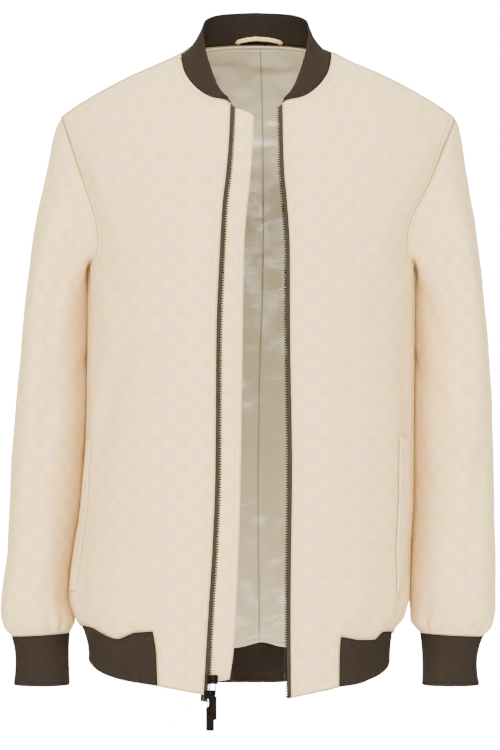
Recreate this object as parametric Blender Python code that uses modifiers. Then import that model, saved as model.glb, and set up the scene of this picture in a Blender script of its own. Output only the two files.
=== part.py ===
"""A bomber jacket, open at the front and filled out with no wearer.

Lengths are millimetres until a point becomes a vertex. The wearer's right is -X, the front faces -Y and
+Z is up. The origin lies between the high points of the shoulders. Angles are degrees round the body:
0 at centre front, 90 at the wearer's left side, 180 at centre back and 270 (or -90) at the right side.
"""

import bisect
import math

import bmesh
import bpy
from mathutils import Vector

MM = 0.001

# Cloth and knit
CLOTH = 2.0
SEAM_GAP = 0.3
RIB_KNIT = 2.6
RIB_DEPTH = 0.7
RIB_PITCH = 4.4
LINING = 1.0
BAND = 1.0
TAPE = 1.2
TEETH = 2.6
GUARD = 1.4
WELT = 1.6

# Shape of the body
SQUARENESS = 2.4
SHOULDER_CENTRE = 1.0
NECK_CENTRE = -0.8
SHOULDER_HALF = 225.0
FRONT_ROUNDING = 130.0
BACK_ROUNDING = 90.0
UNDERARM = -250.0
FRONT_TAB_RIGHT = 30.4
FRONT_TAB_LEFT = 38.0

# Rows and columns of the panels
ARMHOLE_ROWS = 12
SLANT_ROW = 8
SIDE_ROWS = 10
TAB_ROWS = 2
TAB_COLUMNS = 3
FRONT_NECK_COLUMNS = 5
FRONT_COLUMNS = 10
BACK_SHOULDER_COLUMNS = 4
BACK_NECK_COLUMNS = 4
TOP_BEND = 0.42
BOTTOM_BEND = 0.25

BODY_COLUMNS = ("height", "right", "left", "front", "back")
BODY_ROWS = (
    (30, 246, 250, 80, 122),
    (-2, 242, 246, 86, 126),
    (-60, 238, 243, 90, 134),
    (-80, 234, 239, 98, 136),
    (-120, 226, 228, 114, 137),
    (-150, 216, 216, 124, 136),
    (-203, 199, 190, 132, 134),
    (-250, 192, 181, 134, 131),
    (-400, 193, 179, 134, 128),
    (-515, 199, 178, 134, 128),
    (-575, 209, 175, 135, 130),
    (-625, 214, 174, 135, 132),
    (-650, 207, 168, 133, 131),
    (-664, 199, 157, 131, 128),
    (-690, 194, 154, 129.5, 126),
    (-740, 192, 153, 128.5, 123),
)

# Height of the shoulder ridge at a distance from its middle. Inside the neck it only steers the form.
RIDGE_COLUMNS = ("distance", "height")
RIDGE_ROWS = ((0, 27), (30, 25.5), (60, 17), (87, -2), (144, -28), (196, -56), (226, -77), (250, -105))

# The front edges, beside the zip
EDGE_COLUMNS = ("height", "right", "left")
EDGE_ROWS = (
    (-61, -29.8, 29.5),
    (-100, -31, 29.8),
    (-140, -34, 31),
    (-180, -38.5, 34.5),
    (-230, -41.5, 37.3),
    (-330, -45.5, 37.8),
    (-480, -46.6, 40),
    (-560, -49.5, 39),
    (-640, -54.5, 38.4),
    (-735, -60, 39),
)

# The neck seam: share of its length from the front tip to the shoulder, then from there to centre back
NECK_FRONT_COLUMNS = ("share", "distance", "height")
NECK_FRONT_ROWS = (
    (0, 29.5, -64.5),
    (0.04, 33.5, -61),
    (0.2, 52, -56.6),
    (0.4, 72, -42),
    (0.6, 83, -24),
    (0.8, 86.2, -9),
    (1, 86.7, -2),
)
NECK_BACK_COLUMNS = ("share", "distance", "height")
NECK_BACK_ROWS = ((0, 86.7, -2), (0.25, 78, 4), (0.5, 58, 9.5), (0.75, 30, 12.7), (1, 0, 13.5))

# The armhole seam from the shoulder point (0) to the underarm (1)
ARMHOLE_COLUMNS = ("share", "angle", "height")
ARMHOLE_SEAM = (
    (0, 68, -77),
    (0.235, 63, -115),
    (0.4, 61.4, -150),
    (0.627, 60.8, -203),
    (0.765, 66, -235),
    (1, 90, UNDERARM),
)

# The seam between the panels and the hem rib, and the rib's lower edge, at an angle from centre front
HEM_COLUMNS = ("angle", "seam_right", "seam_left", "end_right", "end_left")
HEM_ROWS = (
    (30, -659, -666, -721.5, -724),
    (38, -661, -666, -719, -723),
    (47, -669, -670, -716, -721),
    (56, -663, -671, -712, -716),
    (62, -657.5, -663, -709, -713),
    (75, -657, -664, -702, -706),
    (90, -660, -668, -697.5, -699),
    (110, -662, -667, -704, -705),
    (132, -668, -670, -718, -718),
    (152, -673.5, -673.5, -729.5, -729.5),
    (168, -676.3, -676.3, -733.8, -733.8),
    (180, -676.6, -676.6, -734, -734),
)
RIB_SET_IN = 0.2
RIB_MIDDLE = 0.45
RIB_END_TURN = 0.25

# Lowest edge of each front: at the zip and at the hem rib
TAB_ENDS = {"right": (-730.0, -721.5), "left": (-734.0, -723.5)}

# The collar's upper edge from the front tip (0) to centre back (1), and how far the band bulges below it
COLLAR_COLUMNS = ("share", "distance", "depth", "height", "bulge")
COLLAR_TOP_ROWS = (
    (0, 33.3, -85, -57, 1),
    (0.09, 41.5, -80, -46, 1.5),
    (0.2, 48.8, -70, -29, 1),
    (0.31, 55, -56, -10, -0.5),
    (0.41, 58.8, -38, 6, -2.5),
    (0.54, 61.8, -10, 25, -3.8),
    (0.65, 59.8, 14, 37, -2),
    (0.78, 46, 38, 46, 1),
    (0.9, 24, 48, 49, 2),
    (1, 0, 51, 50, 2),
)
NECK_FRONT_SHARE = 0.525
NECK_MIDDLE = Vector((NECK_CENTRE, -10, 45))
COLLAR_CLEAR = 0.15
CUFF_BULGE = 0.3

# Sleeves: heights of each ring's outer and inner point, where its middle lies and how deep it is
SLEEVE_COLUMNS = ("ring", "outer", "inner", "middle", "half_depth", "own_form")
SLEEVE_ROWS = (
    (0, -77, UNDERARM, 0, 62, 0),
    (1, -84, -255, 2, 64, 0.07),
    (2, -97, -260, 4, 67, 0.32),
    (3, -118, -266, 7, 70, 0.55),
    (4, -150, -274, 10, 73, 0.8),
    (5, -195, -288, 13, 75, 1),
    (6, -255, -312, 16, 75, 1),
    (7, -325, -350, 18, 73, 1),
    (8, -400, -408, 20, 70, 1),
    (9, -475, -478, 20, 67, 1),
    (10, -545, -546, 18, 64, 1),
    (11, -600, -600, 14, 61, 1),
    (12, -635, -635, 9, 56, 1),
    (13, -656, -654, 5, 49, 1),
    (14, -671, -668, 3, 36, 1),
)
SLEEVE_OUTER_COLUMNS = ("height", "right", "left")
SLEEVE_OUTER_ROWS = (
    (-77, -224, 226),
    (-84, -229.5, 230.5),
    (-107, -237.5, 236.5),
    (-141, -243, 242),
    (-176, -249, 246.6),
    (-228, -256, 252.4),
    (-285, -262, 258),
    (-348, -267.4, 264),
    (-400, -273, 267.4),
    (-458, -278, 269.6),
    (-515, -281, 271),
    (-573, -283.5, 272),
    (-607, -288, 272.4),
    (-642, -291.5, 273),
    (-659, -288, 269),
    (-672, -280, 259),
)
SLEEVE_INNER_COLUMNS = ("height", "right", "left")
SLEEVE_INNER_ROWS = (
    (UNDERARM, -193, 182),
    (-300, -193.8, 182),
    (-400, -195.2, 180.8),
    (-515, -201, 179.8),
    (-575, -211, 178.4),
    (-610, -215.4, 177.2),
    (-625, -216.2, 177.4),
    (-640, -213.5, 178),
    (-655, -211, 179),
    (-668, -216, 189),
)
SLEEVE_TUCK = 0.2
SLEEVE_EASE = 2.2
SLEEVE_GAP = 0.6
SLEEVE_SQUARENESS = 2.2

# Cuffs: each ring's height, outer and inner sides on the right and the left arm, and half depth
CUFF_COLUMNS = ("height", "right_outer", "right_inner", "left_outer", "left_inner", "half_depth")
CUFF_ROWS = (
    (-671.5, -277.5, -216.5, 255.5, 190.5, 33.5),
    (-700, -277.5, -215.5, 254, 190.5, 33.5),
    (-728, -280, -214.5, 257, 190, 34),
)

# The wind guard's free edge
GUARD_COLUMNS = ("height", "edge")
GUARD_ROWS = (
    (-79, -3),
    (-118, -4.7),
    (-231, -14.3),
    (-370, -16.5),
    (-510, -18.7),
    (-637, -23.2),
    (-678, -26),
    (-713, -31),
)
GUARD_TOP = -68.5
GUARD_END = -717.0
GUARD_SET_IN = 12.0

# Zip
ZIP_TOP = -66.0
ZIP_END_RIGHT = -738.0
ZIP_END_LEFT = -733.0
TAPE_HIDDEN = 4.0
TAPE_SHOWN = 3.7
TEETH_WIDTH = 2.6
TEETH_RISE = 0.2
TAPE_CLEAR = 0.3
SLIDER_WIDTH = 12.0
SLIDER_HEIGHT = 10.5
SLIDER_DEPTH = 6.6
SLIDER_PLATE = 1.4
SLIDER_WALL = 1.6
SLIDER_ROUNDING = 0.6
BAIL_WIRE = 0.7
BAIL_ROOT = 0.7
BAIL_STEPS = 10
BAIL_SQUARENESS = 0.6
PULL_WIRE = 0.65
PULL_CLEAR = 0.65
LINK_WIDTH = 6.6
LINK_STEPS = 20
LINK_SQUARENESS = 3
TAB_WIDTH = 9.4
TAB_LENGTH = 27.0
TAB_THICK = 2.0
TAB_CORNER = 1.8
TAB_CORNER_STEPS = 4
TAB_LAP = 1.2

# Each slider: height, how far it stands past the teeth, how far its bail stands off its front plate, where
# the pull turns and the length of the pull's link
SLIDERS = {
    "upper": {"height": -713.0, "past": 3.6, "stand_off": 9.0, "pivot": 5.5, "link": 16.5},
    "lower": {"height": -730.0, "past": 1.6, "stand_off": 3.4, "pivot": 1.3, "link": 12.0},
}

# Lining, loop and wind guard
BAND_TOP = 0.5
BAND_DEPTH = 6.2
LINING_CLEAR = 0.75
LINING_OVER_RIB = 1.8
LINING_PAST_SEAM = 14.0
LINING_WAVE = 3.0
LINING_WAVE_START = 0.4
LINING_STEP_IN = 3.0
LINING_SIDE = 0.1
LOOP_THICK = 1.2
LOOP_STEPS = 18
LOOP_REACH = (-0.95, 1.25)
LOOP_FOOT = 1.5
LOOP_RISE = 8.5
LOOP_WIDTH = 5.5
LOOP_CLEAR = 0.4
LOOP_ARCH = 8.4
GUARD_INSET = 5.2
GUARD_SET_BACK = 4.0
GUARD_ACROSS = 4
GUARD_CORNER = 10.0
GUARD_END_CORNER = 4.0
GUARD_SLIDERS_TOP = -668.0
GUARD_SLIDERS_REACH = 34.0
GUARD_ROW_CLEAR = 6.0
WELT_CLEAR = 0.8
WELT_COLUMNS = 3

# Pocket welts: angles of the opening edge and of the far edge, and heights
POCKETS = {"right": (-67.0, -77.5, -446.0, -618.0), "left": (59.5, 69.5, -441.0, -618.0)}

# Soft folds: angle at the upper and at the lower end, the two heights, half width in degrees, rise
FOLD_ROWS = (
    (-50, -52, -90, -215, 6, 2.5),
    (-44, -66, -315, -480, 7, -5),
    (-60, -76, -360, -560, 7, 4),
    (52, 55, -90, -215, 6, 2.5),
    (60, 74, -300, -470, 8, -3),
    (130, 132, -110, -330, 7, 3),
    (228, 230, -110, -330, 7, 3),
    (112, 104, -330, -600, 8, 3),
    (248, 256, -330, -600, 8, 3),
)
GATHER_RISE = 1.6
GATHER_REACH = 45.0
GATHER_START_ANGLE = 36.0
GATHER_START_SPREAD = 8.0
CUFF_GATHER = 0.8
CUFF_GATHER_RING = 13.2
CUFF_GATHER_REACH = 0.9
RIM_TURN_START = 0.72

COLOURS = {
    "wool_cloth": ((0.80, 0.71, 0.60), 0.9, 0.0),
    "rib_knit": ((0.062, 0.043, 0.028), 0.95, 0.0),
    "satin_lining": ((0.49, 0.44, 0.34), 0.4, 0.0),
    "zip_tape": ((0.10, 0.065, 0.04), 0.8, 0.0),
    "zip_metal": ((0.02, 0.015, 0.012), 0.35, 0.8),
}


def monotone_curve(places, values):
    """A smooth function through the values that never swings past them."""
    steps = [b - a for a, b in zip(places, places[1:])]
    slopes = [(b - a) / step for a, b, step in zip(values, values[1:], steps)]
    tangents = [slopes[0]]
    for before, after in zip(slopes, slopes[1:]):
        same_way = before * after > 0
        tangents.append(2 * before * after / (before + after) if same_way else 0.0)
    tangents.append(slopes[-1])

    def value(place):
        place = min(max(place, places[0]), places[-1])
        i = min(bisect.bisect_right(places, place) - 1, len(steps) - 1)
        step = steps[i]
        t = (place - places[i]) / step
        from_values = values[i] * (1 + 2 * t) * (1 - t) ** 2 + values[i + 1] * t * t * (3 - 2 * t)
        from_slopes = tangents[i] * t * (1 - t) ** 2 - tangents[i + 1] * t * t * (1 - t)
        return from_values + step * from_slopes

    return value


def table(columns, rows):
    """The named columns of a table, each a smooth function of the first."""
    rows = sorted(rows)
    places = [row[0] for row in rows]
    return {name: monotone_curve(places, [row[i] for row in rows]) for i, name in enumerate(columns) if i}


BODY = table(BODY_COLUMNS, BODY_ROWS)
RIDGE = table(RIDGE_COLUMNS, RIDGE_ROWS)
EDGE = table(EDGE_COLUMNS, EDGE_ROWS)
NECK_FRONT = table(NECK_FRONT_COLUMNS, NECK_FRONT_ROWS)
NECK_BACK = table(NECK_BACK_COLUMNS, NECK_BACK_ROWS)
ARMHOLE = table(ARMHOLE_COLUMNS, ARMHOLE_SEAM)
HEM = table(HEM_COLUMNS, HEM_ROWS)
COLLAR_TOP = table(COLLAR_COLUMNS, COLLAR_TOP_ROWS)
SLEEVE = table(SLEEVE_COLUMNS, SLEEVE_ROWS)
SLEEVE_OUTER = table(SLEEVE_OUTER_COLUMNS, SLEEVE_OUTER_ROWS)
SLEEVE_INNER = table(SLEEVE_INNER_COLUMNS, SLEEVE_INNER_ROWS)
CUFF = table(CUFF_COLUMNS, CUFF_ROWS)
GUARD_EDGE = table(GUARD_COLUMNS, GUARD_ROWS)


def blend(low, high, share):
    return low + (high - low) * share


def smooth_step(share):
    share = min(max(share, 0.0), 1.0)
    return share * share * (3 - 2 * share)


def side_sign(side):
    return -1 if side == "right" else 1


# The body's surface


def body_section(height):
    right = BODY["right"](height)
    left = BODY["left"](height)
    return (left - right) / 2, (left + right) / 2, BODY["front"](height), BODY["back"](height)


def ridge_height(x):
    return RIDGE["height"](abs(x - SHOULDER_CENTRE))


def body_angle(x, height):
    """The angle at which the front of the body passes over x."""
    centre, half, _, _ = body_section(height)
    across = min(max((x - centre) / half, -1), 1)
    forward = (1 - abs(across) ** SQUARENESS) ** (1 / SQUARENESS)
    return math.degrees(math.atan2(across, forward))


def fold_rise(angle, height):
    """How far the soft folds and the gathers above the hem lift the cloth."""
    turn = angle % 360
    rise = 0.0
    for row in FOLD_ROWS:
        above_angle, below_angle, above, below, half_width, most = row
        share = (above - height) / (above - below)
        if not 0 < share < 1:
            continue
        away = (turn - blend(above_angle, below_angle, share) + 180) % 360 - 180
        rise += most * math.exp(-((away / half_width) ** 2)) * math.sin(math.pi * share) ** 0.8
    return rise


def body_point(angle, height, inset=0.0):
    """A point of the body's surface, or of one that lies inset millimetres inside it."""
    turn = math.radians(angle)
    across, forward = math.sin(turn), math.cos(turn)
    reach = (abs(across) ** SQUARENESS + abs(forward) ** SQUARENESS) ** (-1 / SQUARENESS)
    centre, half, front, back = body_section(height)
    rounding = FRONT_ROUNDING if forward >= 0 else BACK_ROUNDING
    over = centre + half * reach * across
    share = min(max((ridge_height(over) - height) / rounding, 0.0), 1.0)
    swell = math.sqrt(1 - (1 - share) ** 2)
    inset = inset - fold_rise(angle, height) * smooth_step(share * 3)
    depth = (front if forward >= 0 else back) - inset
    x = centre + (half - inset) * reach * across
    y = -depth * reach * forward * swell
    return x, y, height - inset * (1 - share)


def halves_apart(point, angle):
    """Moves a panel's point half a seam gap away from the side and shoulder seams."""
    x, y, z = point
    forward = math.cos(math.radians(angle))
    return x, y + (SEAM_GAP / 2 if forward < -1e-6 else -SEAM_GAP / 2), z


# Outlines of the panels as (angle, height)


def neck_half(columns, part, side):
    """The neck seam on one side, from the front tip or from the shoulder."""
    points = []
    for column in range(columns + 1):
        share = column / columns
        x = NECK_CENTRE + side_sign(side) * part["distance"](share)
        height = min(part["height"](share), ridge_height(x))
        angle = body_angle(x, height)
        points.append((angle if part is NECK_FRONT else 180 - angle, height))
    return points


def shoulder_line(columns, side, back):
    """The shoulder seam from the neck to the shoulder point."""
    start = NECK_CENTRE + side_sign(side) * NECK_FRONT["distance"](1)
    end = SHOULDER_CENTRE + side_sign(side) * SHOULDER_HALF
    points = []
    for column in range(columns + 1):
        x = blend(start, end, column / columns)
        height = ridge_height(x)
        angle = body_angle(x, height)
        points.append((180 - angle if back else angle, height))
    return points


def armhole_line(side, back):
    """The armhole seam from the shoulder point to the underarm."""
    top_angle, top_height = shoulder_line(1, side, False)[1]
    points = []
    for row in range(ARMHOLE_ROWS + 1):
        share = row / ARMHOLE_ROWS
        height = ARMHOLE["height"](share)
        angle = side_sign(side) * ARMHOLE["angle"](share)
        if row == 0:
            angle, height = top_angle, top_height
        points.append((180 - angle if back else angle, height))
    return points


def side_heights(end):
    return [blend(UNDERARM, end, (row / SIDE_ROWS) ** 0.9) for row in range(1, SIDE_ROWS + 1)]


def hem_seam(angle):
    """Height of the seam between the panels and the hem rib."""
    turn = (angle + 180) % 360 - 180
    return HEM["seam_right" if turn < 0 else "seam_left"](abs(turn))


def hem_end(angle):
    turn = (angle + 180) % 360 - 180
    right, left = HEM["end_right"](abs(turn)), HEM["end_left"](abs(turn))
    return right if turn < 0 else left


def ruled_patch(top, bottom, first, last):
    """A grid of (angle, height) ruled between its side edges, bent near the top and bottom to meet those."""
    columns, rows = len(top) - 1, len(first) - 1
    grid = []
    for r in range(rows + 1):
        v = r / rows
        top_bend, bottom_bend = 1 - smooth_step(v / TOP_BEND), smooth_step((v - 1) / BOTTOM_BEND + 1)
        line = []
        for c in range(columns + 1):
            u = c / columns
            point = []
            for k in (0, 1):
                ruled = blend(first[r][k], last[r][k], u)
                upper = top[c][k] - blend(top[0][k], top[-1][k], u)
                lower = bottom[c][k] - blend(bottom[0][k], bottom[-1][k], u)
                point.append(ruled + upper * top_bend + lower * bottom_bend)
            line.append(tuple(point))
        grid.append(line)
    return grid


def front_grid(side):
    """(angle, height) of a front panel, with the rows of its tab down to the hem."""
    sign = side_sign(side)
    tab_angle = sign * (FRONT_TAB_RIGHT if side == "right" else FRONT_TAB_LEFT)
    seam = hem_seam(tab_angle)
    shoulder = shoulder_line(FRONT_COLUMNS - FRONT_NECK_COLUMNS, side, False)
    top = neck_half(FRONT_NECK_COLUMNS, NECK_FRONT, side) + shoulder[1:]
    last = armhole_line(side, False)
    last += [(sign * 90, height) for height in side_heights(hem_seam(sign * 90))]
    first = []
    for row in range(len(last)):
        if row <= ARMHOLE_ROWS:
            height = blend(top[0][1], UNDERARM, row / ARMHOLE_ROWS)
        else:
            height = blend(UNDERARM, seam, ((row - ARMHOLE_ROWS) / SIDE_ROWS) ** 0.9)
        first.append((body_angle(EDGE[side](height), height), height))
    bottom = []
    for column in range(FRONT_COLUMNS + 1):
        if column <= TAB_COLUMNS:
            angle = blend(first[-1][0], tab_angle, column / TAB_COLUMNS)
            bottom.append((angle, seam))
        else:
            share = (column - TAB_COLUMNS) / (FRONT_COLUMNS - TAB_COLUMNS)
            angle = blend(tab_angle, sign * 90, share)
            bottom.append((angle, hem_seam(angle)))
    grid = ruled_patch(top, bottom, first, last)
    for row in range(1, TAB_ROWS + 1):
        share = row / TAB_ROWS
        line = []
        for column in range(FRONT_COLUMNS + 1):
            if column > TAB_COLUMNS:
                line.append(None)
                continue
            end = tab_end(side, column / TAB_COLUMNS)
            height = blend(seam, end, share)
            edge = body_angle(EDGE[side](height), height)
            line.append((blend(edge, tab_angle, column / TAB_COLUMNS), height))
        grid.append(line)
    return grid


def tab_end(side, share):
    """Height of a front's lowest edge, from the zip (0) to the hem rib (1)."""
    return blend(*TAB_ENDS[side], share)


def back_grid():
    left, right = armhole_line("left", True), armhole_line("right", True)
    left += [(90, height) for height in side_heights(hem_seam(90))]
    right = [(angle % 360, height) for angle, height in right]
    right += [(270, height) for height in side_heights(hem_seam(270))]
    shoulder_left = shoulder_line(BACK_SHOULDER_COLUMNS, "left", True)
    shoulder_right = [(a % 360, h) for a, h in shoulder_line(BACK_SHOULDER_COLUMNS, "right", True)]
    neck_left = neck_half(BACK_NECK_COLUMNS, NECK_BACK, "left")
    neck_right = [(a % 360, h) for a, h in neck_half(BACK_NECK_COLUMNS, NECK_BACK, "right")]
    top = shoulder_left[::-1] + neck_left[1:] + neck_right[-2::-1] + shoulder_right[1:]
    columns = len(top) - 1
    bottom = []
    for column in range(columns + 1):
        angle = blend(90, 270, column / columns)
        bottom.append((angle, hem_seam(angle)))
    return ruled_patch(top, bottom, left, right)


def gathers(column, height, seam):
    """Small waves that the hem rib draws into the cloth above it."""
    near = math.exp(-((height - seam) / GATHER_REACH) ** 2)
    return GATHER_RISE * near * (1 if column % 2 else -1)


# Mesh building


def wall(name, outer, inner, material, closed=False):
    """A closed solid between two grids of points. None marks a place that the cloth doesn't cover.

    Each cell is split along the diagonal that is the shorter one where the rows slant into an armhole.
    """
    mesh = bmesh.new()
    skins = []
    for grid in (outer, inner):
        skins.append([[p and mesh.verts.new(Vector(p) * MM) for p in line] for line in grid])
    mate = {}
    for outer_line, inner_line in zip(*skins):
        mate.update((a, b) for a, b in zip(outer_line, inner_line) if a)
    columns = len(outer[0])
    for r in range(len(outer) - 1):
        for c in range(columns if closed else columns - 1):
            d = (c + 1) % columns
            places = ((r, c), (r, d), (r + 1, d), (r + 1, c))
            if all(skins[0][i][j] for i, j in places):
                if not closed and SLANT_ROW <= r < ARMHOLE_ROWS and 2 * c >= columns - 1:
                    places = (*places[1:], places[0])
                for corners in (places[:3], (places[0], *places[2:])):
                    mesh.faces.new([skins[0][i][j] for i, j in corners])
                    mesh.faces.new([skins[1][i][j] for i, j in reversed(corners)])
    for edge in [e for e in mesh.edges if e.is_boundary and e.verts[0] in mate]:
        a, b = edge.verts
        mesh.faces.new((a, b, mate[b], mate[a]))
    return add_object(name, mesh, material)


def ribbed_wall(name, ridges, valleys, inner, material, closed=False):
    """A knit wall whose outer side alternates between ridges and valleys over a plain inner side.

    ridges and valleys hold the outer points of each row and cell; inner holds the corners of the cells.
    """
    mesh = bmesh.new()
    fine, coarse, starts = [], [], []
    for r in range(len(inner)):
        line = []
        starts = []
        for ridge_cell, valley_cell in zip(ridges[r], valleys[r]):
            starts.append(len(line))
            for ridge, valley in zip(ridge_cell, valley_cell):
                line += [mesh.verts.new(Vector(ridge) * MM), mesh.verts.new(Vector(valley) * MM)]
        starts.append(len(line))
        if closed:
            line.append(line[0])
        fine.append(line)
        coarse.append([mesh.verts.new(Vector(p) * MM) for p in inner[r]])
        if closed:
            coarse[-1].append(coarse[-1][0])
    starts[-1] = len(fine[0]) - 1
    for r in range(len(inner) - 1):
        for c in range(len(fine[0]) - 1):
            mesh.faces.new((fine[r][c], fine[r][c + 1], fine[r + 1][c + 1], fine[r + 1][c]))
        for c in range(len(coarse[0]) - 1):
            mesh.faces.new((coarse[r][c], coarse[r + 1][c], coarse[r + 1][c + 1], coarse[r][c + 1]))
        if not closed:
            for c in (0, -1):
                mesh.faces.new((fine[r][c], fine[r + 1][c], coarse[r + 1][c], coarse[r][c]))
    for r in (0, -1):
        stitch(mesh, fine[r], coarse[r], starts)
    return add_object(name, mesh, material)


def stitch(mesh, fine, coarse, starts):
    """Triangles between an edge with many points and one with a point for each cell."""
    for cell, (start, end) in enumerate(zip(starts, starts[1:])):
        middle = (start + end) // 2
        for i in range(start, end):
            mesh.faces.new((fine[i], fine[i + 1], coarse[cell if i < middle else cell + 1]))
        mesh.faces.new((coarse[cell], fine[middle], coarse[cell + 1]))


def add_object(name, mesh, material):
    bmesh.ops.recalc_face_normals(mesh, faces=mesh.faces)
    data = bpy.data.meshes.new(name)
    mesh.to_mesh(data)
    mesh.free()
    data.shade_smooth()
    data.set_sharp_from_angle(angle=math.radians(50))
    piece = bpy.data.objects.new(name, data)
    data.materials.append(MATERIALS[material])
    PARTS.objects.link(piece)
    return piece


def make_material(name, colour, roughness, metallic):
    material = bpy.data.materials.new(name)
    material.use_nodes = True
    shader = material.node_tree.nodes["Principled BSDF"]
    shader.inputs["Base Color"].default_value = (*colour, 1)
    shader.inputs["Roughness"].default_value = roughness
    shader.inputs["Metallic"].default_value = metallic
    return material


# Pieces


def armhole_inner(angle, height, row):
    """The inner point of a wall at the armhole: its rim turns upward towards the underarm."""
    turn = smooth_step((row / ARMHOLE_ROWS - RIM_TURN_START) / (1 - RIM_TURN_START))
    x, y, z = body_point(angle, height, CLOTH * (1 - turn))
    return x, y, z + CLOTH * turn


def panel_points(grid, armhole_columns):
    """Outer and inner points of a panel, gathered above the hem."""
    outer, inner = [], []
    for r, line in enumerate(grid):
        outer_line, inner_line = [], []
        for c, place in enumerate(line):
            if place is None:
                outer_line.append(None)
                inner_line.append(None)
                continue
            angle, height = place
            lift = gathers(c, height, hem_seam(angle)) if 0 < r < len(grid) - 1 - TAB_ROWS else 0.0
            turn = abs((angle + 180) % 360 - 180)
            lift *= smooth_step((turn - GATHER_START_ANGLE) / GATHER_START_SPREAD)
            if c in armhole_columns:
                lift = 0.0
            outer_line.append(halves_apart(body_point(angle, height, -lift), angle))
            if c in armhole_columns and r <= ARMHOLE_ROWS:
                point = armhole_inner(angle, height, r)
            else:
                point = body_point(angle, height, CLOTH - lift)
            inner_line.append(halves_apart(point, angle))
        outer.append(outer_line)
        inner.append(inner_line)
    return outer, inner


def make_fronts():
    panels = {}
    for side in ("right", "left"):
        outer, inner = panel_points(front_grid(side), (FRONT_COLUMNS,))
        wall("front_" + side, outer, inner, "wool_cloth")
        panels[side] = (outer, inner)
    return panels


def make_back():
    grid = back_grid()
    last = len(grid[0]) - 1
    outer, inner = panel_points(grid, (0, last))
    wall("back", outer, inner, "wool_cloth")
    return outer, inner


def sleeve_ring(side, place, inset):
    """A ring of the sleeve's own form, from its outer point over the front and back again."""
    sign = side_sign(side)
    outer_z, inner_z = SLEEVE["outer"](place), SLEEVE["inner"](place)
    outer = Vector((SLEEVE_OUTER[side](outer_z), 0, outer_z))
    inner = Vector((SLEEVE_INNER[side](inner_z), 0, inner_z))
    middle = (outer + inner) / 2
    reach = (outer - inner) / 2
    reach *= 1 - inset / reach.length
    half_depth = SLEEVE["half_depth"](place) - inset
    points = []
    for column in range(2 * ARMHOLE_ROWS):
        turn = math.pi * column / ARMHOLE_ROWS
        c, s = math.cos(turn), math.sin(turn)
        size = (abs(c) ** SLEEVE_SQUARENESS + abs(s) ** SLEEVE_SQUARENESS) ** (-1 / SLEEVE_SQUARENESS)
        y = -half_depth * size * s
        point = middle + reach * size * c
        tuck = -sign * SLEEVE_TUCK * y * smooth_step((place - 2) / 5)
        points.append(Vector((point.x + tuck, y + SLEEVE["middle"](place), point.z)))
    return points


def armhole_loop(side, front, back, skin):
    """The panels' armhole edges as one loop: down the front and up the back."""
    column = 0 if side == "left" else len(back[skin][0]) - 1
    down = [front[skin][row][FRONT_COLUMNS] for row in range(ARMHOLE_ROWS + 1)]
    up = [back[skin][row][column] for row in range(ARMHOLE_ROWS - 1, 0, -1)]
    return [Vector(point) for point in down + up]


def sleeve_spreads(side, outer, inner):
    """At each point of the armhole seam, the way across it from the body into the sleeve."""
    spreads = []
    for column, point in enumerate(outer):
        along = outer[(column + 1) % len(outer)] - outer[column - 1]
        spreads.append(side_sign(side) * along.cross(inner[column] - point).normalized())
    return spreads


def make_sleeve(side, fronts, back):
    """A tube that starts at the armhole's outline and takes its own form within a few rings."""
    loops = [armhole_loop(side, fronts[side], back, skin) for skin in (0, 1)]
    spreads = sleeve_spreads(side, *loops)
    grids = []
    for loop, inset in zip(loops, (0.0, CLOTH)):
        grid = []
        for place, *_ in SLEEVE_ROWS:
            own = SLEEVE["own_form"](place)
            gap = SLEEVE_GAP + SLEEVE_EASE * place
            wave = CUFF_GATHER * math.exp(-(((place - CUFF_GATHER_RING) / CUFF_GATHER_REACH) ** 2))
            line = []
            for column, (seam, free) in enumerate(zip(loop, sleeve_ring(side, place, inset))):
                point = (seam + spreads[column] * gap).lerp(free, own)
                point.y += math.copysign(wave, point.y) * (1 if column % 2 else -1)
                line.append(tuple(point))
            grid.append(line)
        grids.append(grid)
    wall("sleeve_" + side, grids[0], grids[1], "wool_cloth", closed=True)
    return grids


def ribs_between(start, end, count):
    """Ridge and valley points along one cell of a seam."""
    ridges = [start.lerp(end, (i + 0.25) / count) for i in range(count)]
    valleys = [start.lerp(end, (i + 0.75) / count) for i in range(count)]
    return ridges, valleys


def rib_band(name, edges, outward, insets, closed):
    """A ribbed band hung between rows of points, one row for each entry of edges."""
    counts = [max(2, round((b - a).length / RIB_PITCH)) for a, b in zip(edges[0], edges[0][1:])]
    ridges, valleys, inner = [], [], []
    for row, line in enumerate(edges):
        ridge_line, valley_line = [], []
        for cell, count in enumerate(counts):
            start, end = line[cell], line[cell + 1]
            tops, lows = ribs_between(start, end, count)
            normals = [outward[row][cell].lerp(outward[row][cell + 1], i / count) for i in range(count)]
            ridge_line.append([p + n * insets[row] for p, n in zip(tops, normals)])
            valley_line.append([p + n * (insets[row] - RIB_DEPTH) for p, n in zip(lows, normals)])
        ridges.append(ridge_line)
        valleys.append(valley_line)
        corners = line[:-1] if closed else line
        inner.append([p + n * (insets[row] - RIB_KNIT) for p, n in zip(corners, outward[row])])
    return ribbed_wall(name, ridges, valleys, inner, "rib_knit", closed)


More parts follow.
